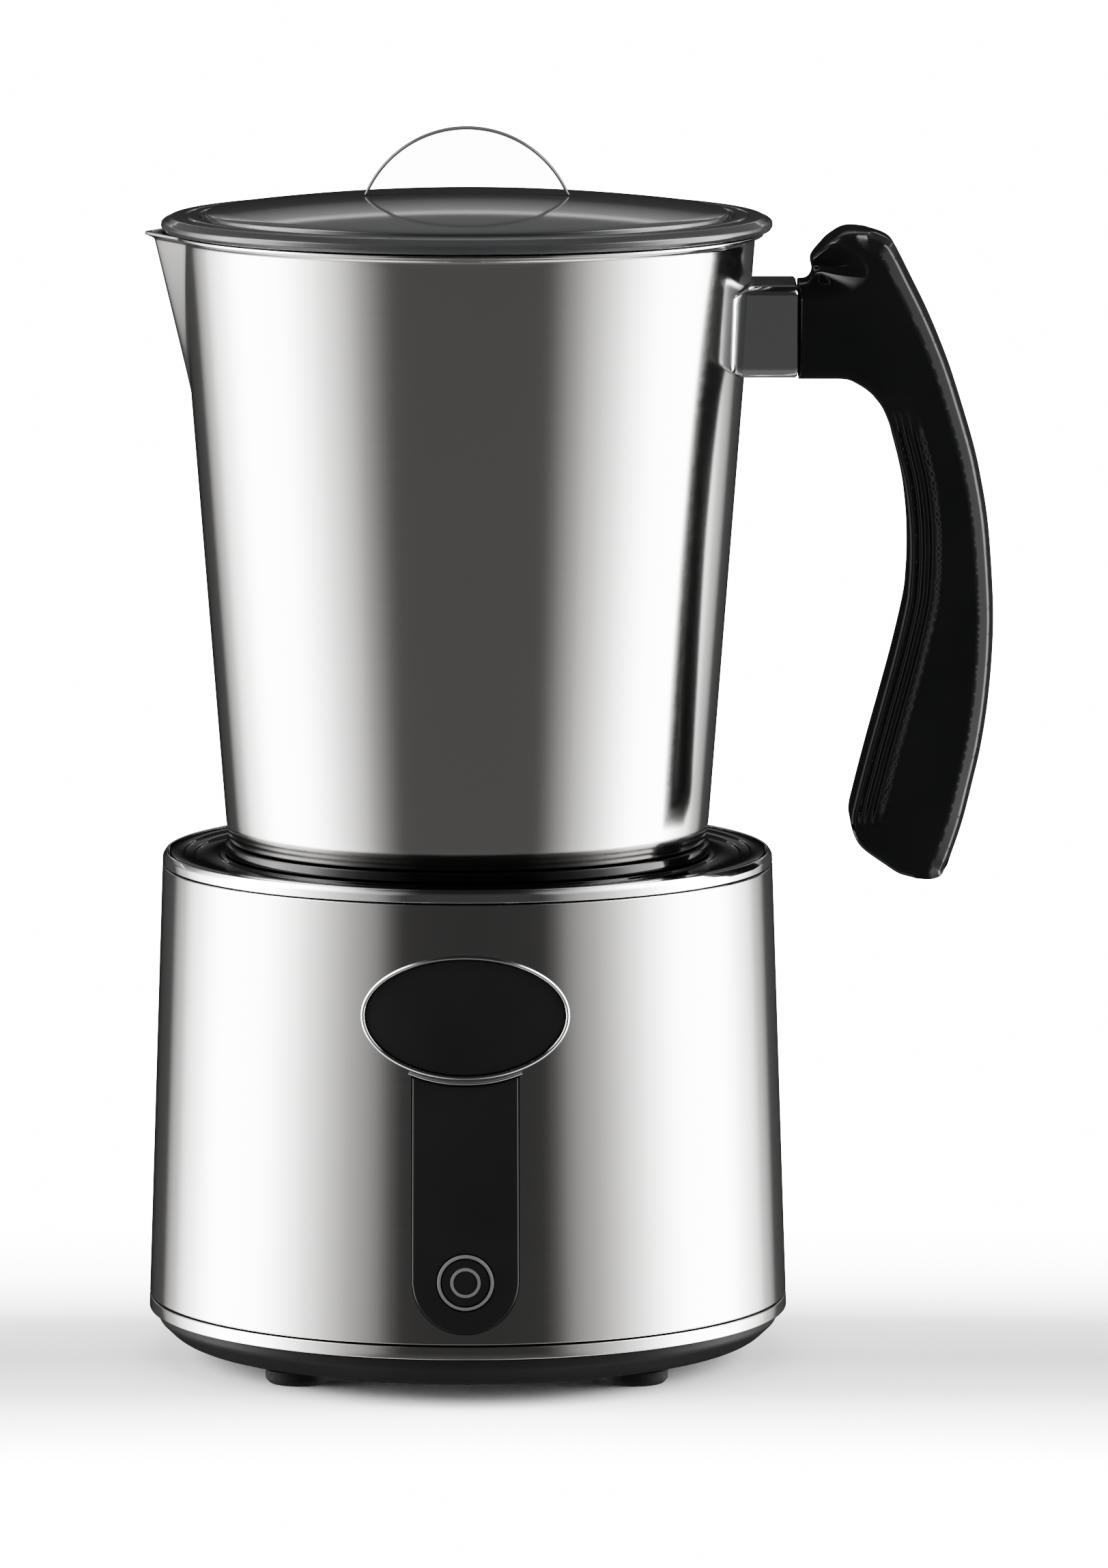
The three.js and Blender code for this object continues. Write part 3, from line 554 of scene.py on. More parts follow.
def chassis_pan():
    profile = rounded([
        (0, 3.0), (50.8, 3.0, 2.5), (55.2, 3.9, 6.0), (58.8, 7.3, 3.2), (58.8, 9.0, 0.3), (57.9, 9.0),
        (57.9, 15.0), (56.4, 15.0), (56.4, 6.4), (55.4, 5.0), (0, 5.0),
    ], step=9)
    obj = make_object("chassis_pan", *lathe(profile, 192), CHASSIS, 50)
    cuts = []
    # seven floor vents inside a circle
    for i in range(-3, 4):
        x, half = i * 4.8, math.sqrt(17 ** 2 - (i * 4.8) ** 2)
        slot = rounded([(x - 1.2, -half, 1.2), (x + 1.2, -half, 1.2),
                        (x + 1.2, half, 1.2), (x - 1.2, half, 1.2)], closed=True, step=20)
        verts = [(x, y, 2.0) for x, y in slot] + [(x, y, 6.0) for x, y in slot]
        n = len(slot)
        faces = [tuple(range(n)), tuple(range(2 * n - 1, n - 1, -1))]
        faces += [(k, k + n, (k + 1) % n + n, (k + 1) % n) for k in range(n)]
        cuts.append((verts, faces))
    for sx in (-1, 1):
        for sy in (-1, 1):
            verts, faces = lathe([(0, 2), (3.2, 2), (3.2, 6), (0, 6)], 40)
            cuts.append((moved(verts, FLOOR_SCREW_XY * sx, FLOOR_SCREW_XY * sy), faces))
            verts, faces = lathe([(0, 2), (2.4, 2), (2.4, 6), (0, 6)], 32)
            cuts.append((moved(verts, FOOT_XY * sx, FOOT_XY * sy), faces))
    carve(obj, cuts)
    obj.data.shade_smooth()
    obj.data.set_sharp_from_angle(angle=math.radians(30))
    settle(obj, "base", "chassis", "chassis")


def feet_and_screws():
    foot = rounded([(0, 0), (5.2, 0, 0.5), (6.0, 0.9, 0.6), (6.0, 2.7, 0.3), (2.0, 2.7), (2.0, 4.7), (0, 4.7)],
                   step=15)
    names = [(1, -1, "front_right"), (1, 1, "rear_right"), (-1, 1, "rear_left"), (-1, -1, "front_left")]
    for i, (sx, sy, where) in enumerate(names):
        verts, faces = lathe(foot, 64)
        obj = make_object(f"pad_{where}", moved(verts, FOOT_XY * sx, FOOT_XY * sy), faces, RUBBER)
        settle(obj, "base", "foot", f"foot_{where}")
        screw(f"screw_floor_{i + 1}", FLOOR_SCREW_XY * sx, FLOOR_SCREW_XY * sy, 3.5, 2.8, 5.3, 16.8,
              "base", f"chassis_screw_{i + 1}")


def screw(name, x, y, z0, head, z1, z2, body, node):
    """a cross-headed screw, head down: z0 to z1 is the head, z1 to z2 the shank"""
    profile = rounded([(0, z0), (head, z0, 0.5), (head, z1), (1.4, z1), (1.4, z2 - 0.8), (0, z2)], step=15)
    verts, faces = lathe(profile, 48)
    obj = make_object(name, moved(verts, x, y), faces, SCREW)
    arm = head * 0.62
    flat = box_mesh(x - arm, x + arm, y - 0.32, y + 0.32, z0 - 1, z0 + 0.9)
    tall = box_mesh(x - 0.32, x + 0.32, y - arm, y + arm, z0 - 1, z0 + 0.9)
    carve(obj, [flat, tall])
    obj.data.shade_smooth()
    obj.data.set_sharp_from_angle(angle=math.radians(35))
    settle(obj, body, "screw", node)


# ---------- base: front controls ----------
def oval_line(a, b, count=200):
    return [(a * math.cos(TAU * k / count), OVAL_Z + b * math.sin(TAU * k / count)) for k in range(count)]


def ring_along(path, section, closed=True):
    """a section (across, height) carried along a path on the base's skin; across is outward"""
    p = np.asarray(path, float)
    if closed:
        t = np.roll(p, -1, axis=0) - np.roll(p, 1, axis=0)
    else:
        t = np.gradient(p, axis=0)
    t /= np.linalg.norm(t, axis=1)[:, None]
    out = np.column_stack([t[:, 1], -t[:, 0]])
    verts, faces, m, n = [], [], len(section), len(p)
    for k in range(n):
        for across, h in section:
            verts.append((p[k, 0] + out[k, 0] * across, p[k, 1] + out[k, 1] * across, h))
    for k in range(n if closed else n - 1):
        q = (k + 1) % n
        for j in range(m):
            i = (j + 1) % m
            faces.append((k * m + j, k * m + i, q * m + i, q * m + j))
    if not closed:
        faces.append(tuple(range(m)))
        faces.append(tuple((n - 1) * m + j for j in reversed(range(m))))
    return verts, faces


def front_oval():
    def lens(uv, d):
        """a window with a low crown and a rounded rim"""
        crown = 0.3 * (1 - (uv[:, 0] / 18.6) ** 2 - ((uv[:, 1] - OVAL_Z) / 10.75) ** 2)
        return 0.5 + np.maximum(crown, 0) - rim_drop(d, 0.3)
    verts, faces = plate(oval_line(18.3, 10.7), 0.5, 0.3, lens, -2.2)
    settle(make_object("oval_lens", on_base(verts), faces, GLOSS, 50), "base", "panel", "oval_window")
    section = rounded([(0.0, 0.3), (0.72, 0.3), (0.72, 0.95, 0.34), (0.36, 1.3, 0.3), (0.0, 0.95, 0.36)],
                      closed=True, step=10)
    verts, faces = ring_along(oval_line(18.3, 10.8, 260), section)
    # a second, finer lip under the oval, where the control strip meets it
    low = [(19.3 * math.sin(t), OVAL_Z - 12.5 * math.cos(t)) for t in np.linspace(-0.57, 0.57, 90)]
    lip = rounded([(-0.85, 0.3), (0.0, 0.3), (0.0, 0.75, 0.2), (-0.4, 0.8, 0.2), (-0.5, 0.55), (-0.85, 0.55)],
                  closed=True, step=15)
    more, extra = ring_along(low, lip, closed=False)
    faces += [tuple(i + len(verts) for i in f) for f in extra]
    verts += more
    settle(make_object("oval_frame", on_base(verts), faces, BRIGHT, 60), "base", "bezel", "oval_bezel")


def strip_panel():
    half = 9.87
    centre = 14.1 + half
    line = [(half * math.cos(a), centre + half * math.sin(a)) for a in np.linspace(-math.pi, 0, 60)]
    # the top follows the lower edge of the oval
    edge = [t for t in np.linspace(0, math.pi, 400) if abs(19.8 * math.cos(t)) <= half]
    top = [(19.8 * math.cos(t), OVAL_Z - 12.75 * math.sin(t)) for t in edge]

    def face(_, d):
        return 0.42 - rim_drop(d, 0.45)

    verts, faces = plate(line + top, 0.4, 0.45, face, -2.0)
    obj = make_object("control_panel", on_base(verts), faces, GLOSS, 50)
    verts, faces = lathe([(0, 50), (5.5, 50), (5.5, 70), (0, 70)], 72)
    carve(obj, [(facing_front(verts, BUTTON_Z), faces)])
    obj.data.shade_smooth()
    obj.data.set_sharp_from_angle(angle=math.radians(32))
    settle(obj, "base", "panel", "control_strip")


def button_parts():
    ring = rounded([(4.64, 56.5), (6.6, 56.5), (6.6, 57.2), (5.24, 57.2), (5.24, 60.5, 0.22), (4.64, 60.5, 0.2)],
                   step=15)
    verts, faces = lathe(ring, 96, True)
    settle(make_object("ring_outer", facing_front(verts, BUTTON_Z), faces, GREY_PRINT),
           "base", "print_grey", "button_bezel")
    cap = rounded([(0, 54.9), (1.6, 54.9), (1.6, 58.2), (4.45, 58.2), (4.45, 60.35, 0.3), (2.95, 60.38),
                   (2.95, 59.4), (2.1, 59.4), (2.1, 60.38), (0, 60.42)], step=15)
    verts, faces = lathe(cap, 96)
    settle(make_object("push_cap", facing_front(verts, BUTTON_Z), faces, GLOSS), "button", "panel", "button_cap")
    inner = rounded([(2.23, 59.5), (2.83, 59.5), (2.83, 60.47, 0.15), (2.23, 60.47, 0.15)], step=15)
    verts, faces = lathe(inner, 96, True)
    settle(make_object("ring_inner", facing_front(verts, BUTTON_Z), faces, GREY_PRINT),
           "button", "print_grey", "button_light_ring")


def rear_inlet():
    profile = rounded([(0, 57.0), (3.2, 57.0, 0.3), (3.4, 60.0, 0.3), (6.3, 60.15, 0.5), (6.9, 59.6, 0.3),
                       (6.9, 57.5), (8.6, 57.5), (8.6, 56.6), (5.5, 56.6), (4.6, 50.0), (0, 50.0)], step=15)
    verts, faces = lathe(profile, 96)
    settle(make_object("inlet_grommet", facing_rear(verts, INLET_Z), faces, CHASSIS),
           "base", "inlet", "cable_inlet")


# ---------- jug ----------
def spout_radius(r, z, angle):
    """radius of the wall at an angle from the spout, with a folded lip and soft creases"""
    if z <= 178.5:
        return r
    rise = (z - 181.5) / (213.5 - 181.5)
    reach = max(5.2 * rise, 1e-4)
    half = math.asin(min(0.99, max(14.5 * rise, 0.02) / r))
    a = math.sqrt(angle ** 2 + math.radians(0.9) ** 2) - math.radians(0.25)
    if a > 1.35 * half + 0.03:
        return r
    tip = r + reach
    bottom = r * math.sin(half) * math.cos(a) + (tip - r * math.cos(half)) * math.sin(a)
    flank = tip * r * math.sin(half) / bottom
    k = 0.18
    blend = 0.5 * (flank + r + math.sqrt((flank - r) ** 2 + k ** 2)) - 0.5 * k
    return max(r, blend) if rise > 0 else r


def jug_shell():
    outer = rounded([
        (0, 96.5), (43.2, 96.5, 0.2), (43.2, 98.3, 0.2), (44.95, 98.35, 0.7), (jug_radius(102), 102, 20),
        (jug_radius(212.3), 212.3, 0.7), (55.7, 212.95, 0.25), (55.7, 213.5, 0.2), (55.2, 213.55, 0.2),
    ], step=8)
    inner = rounded([
        (54.2, 213.5, 0.3), (53.1, 212.2, 1.2), (jug_radius(103) - 1.2, 103, 20), (44.0, 98.9, 1.8),
        (42.0, 97.6, 1.0), (0, 97.6),
    ], step=10)
    profile = []
    for line in (outer, inner):
        for (r0, z0), (r1, z1) in zip(line, line[1:]):
            profile.append((r0, z0))
            if abs(z1 - z0) > 3:
                count = int(abs(z1 - z0) / (0.8 if max(z0, z1) > 185 else 6.0))
                cuts = np.linspace(0, 1, count + 1)[1:-1]
                profile += [(r0 + (r1 - r0) * t, z0 + (z1 - z0) * t) for t in cuts]
        profile.append(line[-1])
    angles = list(np.radians(np.linspace(-24, 24, 193)))[:-1]
    angles += list(np.radians(np.linspace(24, 336, 209)))[:-1]
    count = len(angles)
    verts, faces, rings = [], [], []
    for r, z in profile:
        if r < 1e-6:
            rings.append([len(verts)])
            verts.append((0, 0, z))
            continue
        rings.append(list(range(len(verts), len(verts) + count)))
        for angle in angles:
            a = (angle + math.pi) % TAU - math.pi
            radius = spout_radius(r, z, a)
            verts.append((-radius * math.cos(angle), -radius * math.sin(angle), z))
    for low, high in zip(rings, rings[1:]):
        for k in range(count):
            m = (k + 1) % count
            if len(low) == 1:
                faces.append((low[0], high[m], high[k]))
            elif len(high) == 1:
                faces.append((low[k], low[m], high[0]))
            else:
                faces.append((low[k], low[m], high[m], high[k]))
    settle(make_object("jug_shell", verts, faces, STEEL, 60), "jug", "jug_body", "jug_body")
    ring = rounded([(43.4, 96.3), (45.95, 96.3, 0.15), (45.72, 98.0, 0.2), (44.6, 98.15, 0.1), (43.4, 98.15)],
                   closed=True, step=15)
    settle(make_object("jug_foot_ring", *lathe(ring, 256, True), FOOT, 50), "jug", "deck")


def bracket_arm():
    """a bar that spreads over the wall as a thin soft pad where it meets the jug"""
    z0, z1, half, seam = 186.8, 204.1, 11.5, 61.9
    mid, tall = (z0 + z1) / 2, (z1 - z0) / 2
    shape = rounded([(-half, -tall, 1.6), (half, -tall, 1.6), (half, tall - 1.0, 0.12), (half - 1.1, tall, 0.12),
                     (-half + 1.1, tall, 0.12), (-half, tall - 1.0, 0.12)], closed=True, step=12)
    line = resample(shape, 0.5)
    # half width, share of the height, height over the wall
    pad = [(17.7, 0.87, -0.5), (18.1, 0.875, 0.05), (17.8, 0.88, 0.35), (17.2, 0.89, 0.5), (15.8, 0.92, 0.55),
           (14.2, 0.95, 0.55), (12.8, 0.975, 0.55), (11.5, 1.0, 0.55)]
    verts, faces, rows = [], [], []
    for wide, share, height in pad:
        row = []
        for y, z in line:
            yy, zz = y * (1 + 0.06 * z / tall) * wide / half, mid + z * share
            row.append(len(verts))
            verts.append((math.sqrt((jug_radius(zz) + height) ** 2 - yy ** 2), yy, zz))
        rows.append(row)
    for inset, x in ((0.0, 56.6), (0.0, 58.5), (0.0, seam - 0.4), (0.35, seam)):
        row = []
        for y, z in line:
            row.append(len(verts))
            verts.append((x, y * (1 + 0.06 * z / tall - 0.25 * inset / half), mid + z * (1 - inset / tall)))
        rows.append(row)
    n = len(line)
    for a, b in zip(rows, rows[1:]):
        for k in range(n):
            m = (k + 1) % n
            faces.append((a[k], a[m], b[m], b[k]))
    faces.append(tuple(reversed(rows[0])))
    faces.append(tuple(rows[-1]))
    settle(make_object("bracket_arm", verts, faces, BRACKET, 35), "jug", "bracket", "handle_bracket")


INNER_EDGE = [
    (62.2, 187.1), (66.5, 187.1), (71.0, 187.0), (73.2, 186.1), (75.4, 184.6), (77.0, 182.8), (78.1, 181.1),
    (79.4, 177.8), (80.2, 174.7), (81.4, 170.0), (82.3, 165.4), (82.95, 159.2), (83.1, 153.0), (82.9, 148.3),
    (82.4, 143.6), (80.35, 134.3), (77.9, 124.9), (75.4, 115.6), (73.2, 106.8), (72.3, 102.5), (72.6, 99.9),
    (74.3, 96.8), (78.7, 93.5), (81.3, 91.8), (84.0, 91.0),
]
BACK_EDGE = [
    (84.0, 91.0), (88.0, 90.9), (90.1, 92.1), (91.35, 95.2), (93.4, 101.5), (95.3, 109.3), (96.7, 115.6),
    (97.9, 123.4), (98.7, 132.0), (99.0, 140.5), (98.7, 149.0), (97.9, 159.2), (96.7, 166.9), (95.0, 174.7),
    (91.3, 187.1), (89.1, 193.2), (86.5, 199.4), (83.5, 205.6), (80.6, 211.4), (79.0, 213.5), (76.0, 214.8),
]
TOP_EDGE = [
    (76.0, 214.8), (71.2, 214.9), (68.2, 213.3), (66.3, 211.6), (64.9, 210.1), (64.5, 209.0), (64.8, 207.2),
    (64.4, 205.8), (63.6, 205.1), (62.2, 204.9),
]


def grip_body():
    def drawn_in(points):
        # both ends are drawn in a little, so that the rounded rims carry the outline
        return [(x, z - 1.0 + 2.4 * (214.9 - z) / 124.0) for x, z in points]

    inner = smooth_line(drawn_in(INNER_EDGE), 0.3)
    outer = smooth_line(drawn_in(BACK_EDGE), 0.3)
    top = smooth_line(drawn_in(TOP_EDGE), 0.3)
    outline = np.vstack([inner[:-1], outer[:-1], top])
    back = smooth_line(drawn_in(BACK_EDGE[2:]), 0.4)
    half = 11.5
    ribbed = np.array([p for p in inner if 100.0 < p[1] < 183.0])
    # lines of points that follow the ribs and the bevel, so that both come out crisp
    tracks = []
    for d in (0.9, 1.22, 1.6, 1.98, 2.22, 2.6, 2.98, 3.3, 3.62, 4.0, 4.38, 4.6, 5.4, 6.2, 6.6):
        side = offset_points(ribbed, d, closed=False)
        middle = len(side) // 2
        if not inside(side[middle:middle + 1], outline)[0]:
            side = offset_points(ribbed, -d, closed=False)
        tracks.append(side)
    tracks += [offset_points(back, d, closed=False) for d in (0.3, 0.7, 1.1, 1.8, 2.6, 3.35, 3.8)]
    rest = np.vstack([top, inner])

    def face(uv, d):
        to_inner = segment_distance(uv, inner, closed=False)
        to_back = segment_distance(uv, back, closed=False)
        h = np.full(len(uv), half)
        h -= rim_drop(segment_distance(uv, rest, closed=False), 1.4)
        # along the back: a rounded edge, then a flat bevel
        h -= 3.9 * np.clip(1.1 - to_back, 0, None) + 0.70 * np.clip(3.35 - np.maximum(to_back, 1.1), 0, None)
        # finger side: a shallow step with fine grooves, faded out at both ends
        fade = np.clip((uv[:, 1] - 100.0) / 6.0, 0, 1) * np.clip((184.0 - uv[:, 1]) / 8.0, 0, 1)
        h -= fade * 1.05 * np.clip((6.2 - to_inner) / 1.6, 0, 1)
        for at in (1.6, 2.6, 4.0):
            h -= fade * 0.44 * np.clip(1 - np.abs(to_inner - at) / 0.38, 0, 1)
        # thumb rest: a scoop sunk in from the notch
        q = np.sqrt(((uv[:, 0] - 64.3) / 11.3) ** 2 + ((uv[:, 1] - 207.0) / 5.6) ** 2)
        h -= 8.0 * np.clip(1.0 - q, 0, 1) ** 1.15
        return np.maximum(h, 0.4)

    verts, faces = plate(outline, 0.45, 1.4, face, None, tracks)
    body = [(x, -h, z) for x, z, h in verts]
    obj = make_object("grip_body", body, faces, GRIP, 60)
    cuts = [box_mesh(60.5, 72.8, -5.3, 5.3, 192.2, 199.8)]
    for x in HANDLE_SCREWS_X:
        verts, tool = lathe([(0, 180), (2.4, 180), (2.4, 189.4), (1.7, 189.4), (1.7, 195), (0, 195)], 40)
        cuts.append((moved(verts, x), tool))
    carve(obj, cuts)
    obj.data.shade_smooth()
    obj.data.set_sharp_from_angle(angle=math.radians(50))
    settle(obj, "jug", "grip", "handle_grip")
    for i, x in enumerate(HANDLE_SCREWS_X):
        screw(f"screw_grip_{i + 1}", x, 0.0, 187.2, 2.1, 189.1, 197.6, "jug", f"handle_screw_{i + 1}")


# ---------- lid ----------
def lid_parts():
    lid = lid_material()
    crown = [(r, LID_CROWN_Z - 0.0014 * r * r) for r in np.linspace(0, 48, 33)]
    rim = rounded([
        crown[-1], (49.1, 217.2, 0.5), (49.4, 215.7, 0.15), (50.1, 215.7, 0.15), (50.4, 216.7, 0.4),
        (52.4, 216.7, 0.6), (52.8, 216.45, 0.2), (53.2, 216.62, 0.4), (55.7, 216.5, 0.9), (56.55, 215.85, 0.12),
        (56.75, 215.98, 0.15), (57.35, 215.5, 0.5), (57.45, 214.7, 0.7), (57.0, 214.0, 0.4), (56.2, 213.8, 0.3),
        (50.2, 213.8), (50.2, 208.2, 0.3), (48.8, 208.2, 0.3), (48.8, 214.9, 0.6), (46, 215.9, 20),
        (36, 217.2, 60), (22, 218.5, 60), (0, 218.9),
    ], step=4)
    profile = crown[:-1] + rim
    settle(make_object("lid_dish", *lathe(profile, 288), lid, 50), "lid", "lid_shell", "lid_shell")
    seal = rounded([
        (50.5, 209.0), (51.4, 209.0, 0.2), (52.2, 210.2, 0.4), (51.4, 211.2, 0.3), (52.2, 212.6, 0.4),
        (51.6, 213.3, 0.2), (50.5, 213.3),
    ], step=20)
    settle(make_object("lid_gasket", *lathe(seal, 192, True), RUBBER), "lid", "seal", "lid_seal")
    # the tab is a disc cut off just below the top of the crown
    start = math.asin((220.35 - TAB_CENTRE_Z) / TAB_RADIUS)
    arc = [(TAB_RADIUS * math.cos(a), TAB_CENTRE_Z + TAB_RADIUS * math.sin(a))
           for a in np.linspace(start, math.pi - start, 120)]

    def face(_, d):
        return 1.1 - rim_drop(d, 0.35)

    verts, faces = plate(arc, 0.4, 0.35, face, None)
    tab = [(x, -h, z) for x, z, h in verts]
    settle(make_object("lift_tab", tab, faces, tab_material(), 50), "lid", "lid_grip", "lid_grip")


# ---------- camera, light, floor ----------
def camera():
    data = bpy.data.cameras.new("camera")
    data.sensor_width = 36.0
    data.lens = 261.0
    data.clip_start = 0.1
    data.clip_end = 50.0
    cam = bpy.data.objects.new("camera", data)
    cam.location = ((AXIS_X + 16.364) * MM, -2129.8 * MM, 390.92 * MM)
    cam.rotation_euler = (math.pi / 2 - 0.1317, 0, 0)
    bpy.context.scene.collection.objects.link(cam)
    bpy.context.scene.camera = cam


def studio():
    world = bpy.data.worlds.new("studio")
    bpy.context.scene.world = world
    world.use_nodes = True
    nodes, links = world.node_tree.nodes, world.node_tree.links
    nodes.clear()
    out = nodes.new("ShaderNodeOutputWorld")
    coord = nodes.new("ShaderNodeTexCoord")
    split = nodes.new("ShaderNodeSeparateXYZ")
    links.new(coord.outputs["Generated"], split.inputs["Vector"])

    def math_node(kind, a, b=None):
        node = nodes.new("ShaderNodeMath")
        node.operation = kind
        for i, v in enumerate((a, b)):
            if v is None:
                continue
            if isinstance(v, (int, float)):
                node.inputs[i].default_value = v
            else:
                links.new(v, node.inputs[i])
        return node.outputs["Value"]

    def map_range(value, low, high, start, stop):
        node = nodes.new("ShaderNodeMapRange")
        node.inputs["From Min"].default_value = low
        node.inputs["From Max"].default_value = high
        node.inputs["To Min"].default_value = start
        node.inputs["To Max"].default_value = stop
        links.new(value, node.inputs["Value"])
        return node.outputs["Result"]

    def ramp_of(fraction, stops):
        ramp = nodes.new("ShaderNodeValToRGB")
        band = ramp.color_ramp
        while len(band.elements) < len(stops):
            band.elements.new(0.5)
        for element, (at, value) in zip(band.elements, stops):
            element.position = at
            element.color = (value, value, value, 1)
        links.new(fraction, ramp.inputs["Fac"])
        return ramp.outputs["Color"]

    def blend(factor, a, b):
        mix = nodes.new("ShaderNodeMix")
        mix.data_type = "RGBA"
        links.new(factor, mix.inputs["Factor"])
        for socket, value in (("A", a), ("B", b)):
            if isinstance(value, (int, float)):
                mix.inputs[socket].default_value = (value, value, value, 1)
            else:
                links.new(value, mix.inputs[socket])
        return mix.outputs["Result"]

    # azimuth from the front (-Y): 0 at the left rear, 0.5 in front, 1 at the right rear
    up = split.outputs["Z"]
    turn = math_node("ARCTAN2", split.outputs["X"], math_node("MULTIPLY", split.outputs["Y"], -1.0))
    fraction = math_node("ADD", math_node("DIVIDE", turn, TAU), 0.5)
    # (degrees from the front, brightness), the same on both sides but for a small turn
    half = [(0, 0.05), (26, 0.055), (31, 0.15), (39, 0.5), (47, 0.85), (55, 1.7), (64, 3.8), (73, 9.0),
            (85, 21.0), (106, 24.0), (119, 9.0), (134, 1.4), (147, 0.09), (162, 0.06), (172, 0.012), (180, 0.01)]
    stops = [((-a + 2.5) / 360 + 0.5, v) for a, v in half[-1:0:-1]]
    stops += [((a + 2.5) / 360 + 0.5, v) for a, v in half[:-1]]
    sides = ramp_of(fraction, stops)
    # a little light on the ground in front, seen low in the jug
    front = math_node("MULTIPLY", map_range(up, -0.14, -0.24, 0.0, 1.0),
                      map_range(math_node("ABSOLUTE", turn), 0.5, 0.9, 1.0, 0.0))
    sides = blend(front, sides, 0.115)
    # a soft strip low behind, which the lid catches
    behind = map_range(math_node("ABSOLUTE", turn), 1.9, 2.6, 0.0, 1.0)
    rise = ramp_of(map_range(up, 0.0, 1.0, 0.0, 1.0),
                   [(0.0, 0.01), (0.12, 0.012), (0.17, 0.17), (0.23, 0.46),
                    (0.248, 2.3), (0.254, 0.16), (1.0, 0.03)])
    sides = blend(math_node("MULTIPLY", behind, map_range(up, 0.12, 0.15, 0.0, 1.0)), sides, rise)
    # tall boxes at the sides, dark overhead and dull underfoot
    sides = blend(map_range(up, 0.72, 0.86, 0.0, 1.0), sides, 0.015)
    sides = blend(map_range(up, -0.36, -0.52, 0.0, 0.84), sides, 0.26)
    light = nodes.new("ShaderNodeBackground")
    links.new(sides, light.inputs["Color"])
    white = nodes.new("ShaderNodeBackground")
    # the backdrop is white, with a soft grey band of painted shade where the floor turns up into it
    backdrop_shade_band = ramp_of(map_range(up, -0.1900, -0.1700, 0.0, 1.0),
                      [(0.0, 16.0), (0.12, 10.0), (0.3, 4.4), (0.45, 3.0), (0.6, 3.8), (0.8, 11.0), (1.0, 16.0)])
    links.new(backdrop_shade_band, white.inputs["Color"])
    path = nodes.new("ShaderNodeLightPath")
    choose = nodes.new("ShaderNodeMixShader")
    links.new(path.outputs["Is Camera Ray"], choose.inputs["Fac"])
    links.new(light.outputs["Background"], choose.inputs[1])
    links.new(white.outputs["Background"], choose.inputs[2])
    links.new(choose.outputs["Shader"], out.inputs["Surface"])

    lamp = bpy.data.lights.new("overhead", "AREA")
    lamp.shape = "DISK"
    lamp.size = 1.6
    lamp.energy = 28.0
    top = bpy.data.objects.new("overhead", lamp)
    top.location = (0.0, -0.25, 1.7)
    top.visible_glossy = False
    bpy.context.scene.collection.objects.link(top)


def floor():
    mat, nodes, links, bsdf = new_material("pale_floor")
    fine = object_noise(nodes, links, 40.0, (1, 1, 1), 3.0)
    links.new(ramp_between(nodes, links, fine.outputs["Fac"], 0.86, 0.88), bsdf.inputs["Base Color"])
    links.new(ramp_between(nodes, links, fine.outputs["Fac"], 0.85, 0.9), bsdf.inputs["Roughness"])
    bsdf.inputs["Specular IOR Level"].default_value = 0.0
    mesh = bpy.data.meshes.new("studio_floor")
    mesh.from_pydata([(-6, -6, 0), (6, -6, 0), (6, 6, 0), (-6, 6, 0)], [], [(0, 1, 2, 3)])
    mesh.materials.append(mat)
    obj = bpy.data.objects.new("studio_floor", mesh)
    bpy.context.scene.collection.objects.link(obj)
    obj.visible_glossy = False
    obj.is_shadow_catcher = True


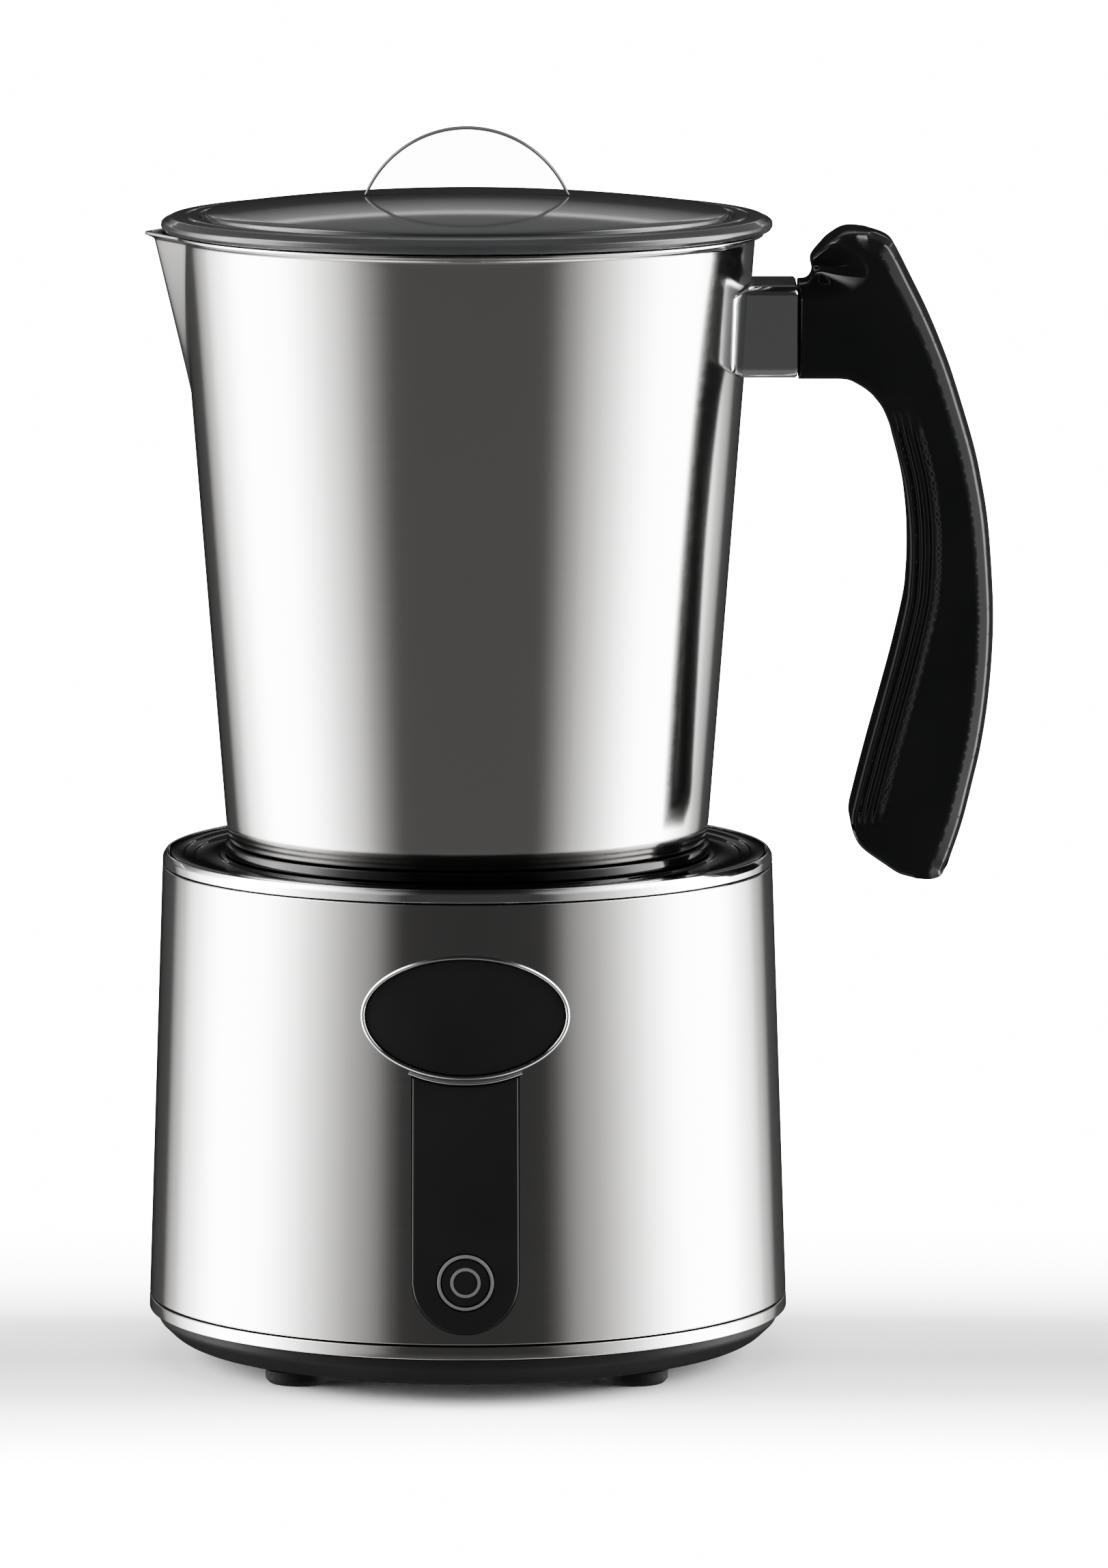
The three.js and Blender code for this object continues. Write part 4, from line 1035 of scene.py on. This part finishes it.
# ---------- carried-over CAD pieces ----------
def carried_materials():
    copper = metal("enamelled_copper", (0.42, 0.17, 0.06), (0.55, 0.24, 0.09), 0.25, 0.4, (1, 1, 30), 80, 0.1)
    ferrite = plastic("ferrite", (0.02, 0.02, 0.022), (0.035, 0.035, 0.038), 0.5, 0.7, 80, 900, 0.3)
    board = plastic("solder_mask", (0.01, 0.06, 0.025), (0.015, 0.085, 0.035), 0.25, 0.4, 200, 1200, 0.1)
    alu = metal("aluminium", (0.55, 0.56, 0.57), (0.66, 0.67, 0.68), 0.3, 0.42, (1, 30, 1), 120, 0.08)
    shaft = metal("ground_steel", (0.50, 0.51, 0.52), (0.58, 0.58, 0.59), 0.16, 0.24, (1, 1, 40), 200, 0.03)
    nickel = metal("nickel", (0.45, 0.45, 0.44), (0.55, 0.55, 0.53), 0.14, 0.25, (1, 1, 1), 150, 0.03)
    can = metal("motor_steel", (0.42, 0.43, 0.44), (0.5, 0.51, 0.52), 0.28, 0.4, (4, 4, 60), 40, 0.05)
    dark = plastic("dark_moulding", (0.012, 0.012, 0.013), (0.02, 0.02, 0.021), 0.4, 0.55, 60, 1300, 0.12)
    grey = plastic("grey_moulding", (0.05, 0.055, 0.06), (0.07, 0.074, 0.08), 0.42, 0.55, 60, 1300, 0.12)
    tan = plastic("former_moulding", (0.045, 0.036, 0.03), (0.06, 0.05, 0.042), 0.5, 0.62, 60, 1200, 0.15)
    ivory = plastic("ivory_moulding", (0.42, 0.40, 0.35), (0.5, 0.48, 0.43), 0.35, 0.5, 60, 1200, 0.08)
    sleeve = plastic("sleeve", (0.012, 0.016, 0.03), (0.02, 0.025, 0.045), 0.2, 0.3, 120, 900, 0.05)
    wire = metal("drawn_wire", (0.56, 0.57, 0.58), (0.64, 0.65, 0.66), 0.12, 0.2, (1, 1, 1), 300, 0.02)
    chosen = {
        "motor_frame": grey, "motor_can": can, "coil_former": tan, "induction_coil": copper,
        "temperature_sensor": alu, "power_board": board, "capacitor": sleeve, "filter_choke": copper,
        "heat_sink": alu, "fan_frame": dark, "fan_rotor": dark, "control_board": board, "tact_switch": dark,
        "motor_shaft": shaft, "magnet_carrier": ivory, "whisk_spindle": shaft, "whisk_bush": ivory,
        "whisk_hub": dark, "whisk_coil": wire,
    }
    for name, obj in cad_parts.items():
        mat = chosen.get(name)
        if name.startswith("ferrite_bar"):
            mat = ferrite
        if "magnet_" in name and name != "magnet_carrier":
            mat = nickel
        if mat is None:
            continue
        obj.data.materials.clear()
        obj.data.materials.append(mat)


camera()
base_shell()
base_rings()
deck_top()
chassis_pan()
feet_and_screws()
front_oval()
strip_panel()
button_parts()
rear_inlet()
jug_shell()
bracket_arm()
grip_body()
lid_parts()
carried_materials()
studio()
floor()
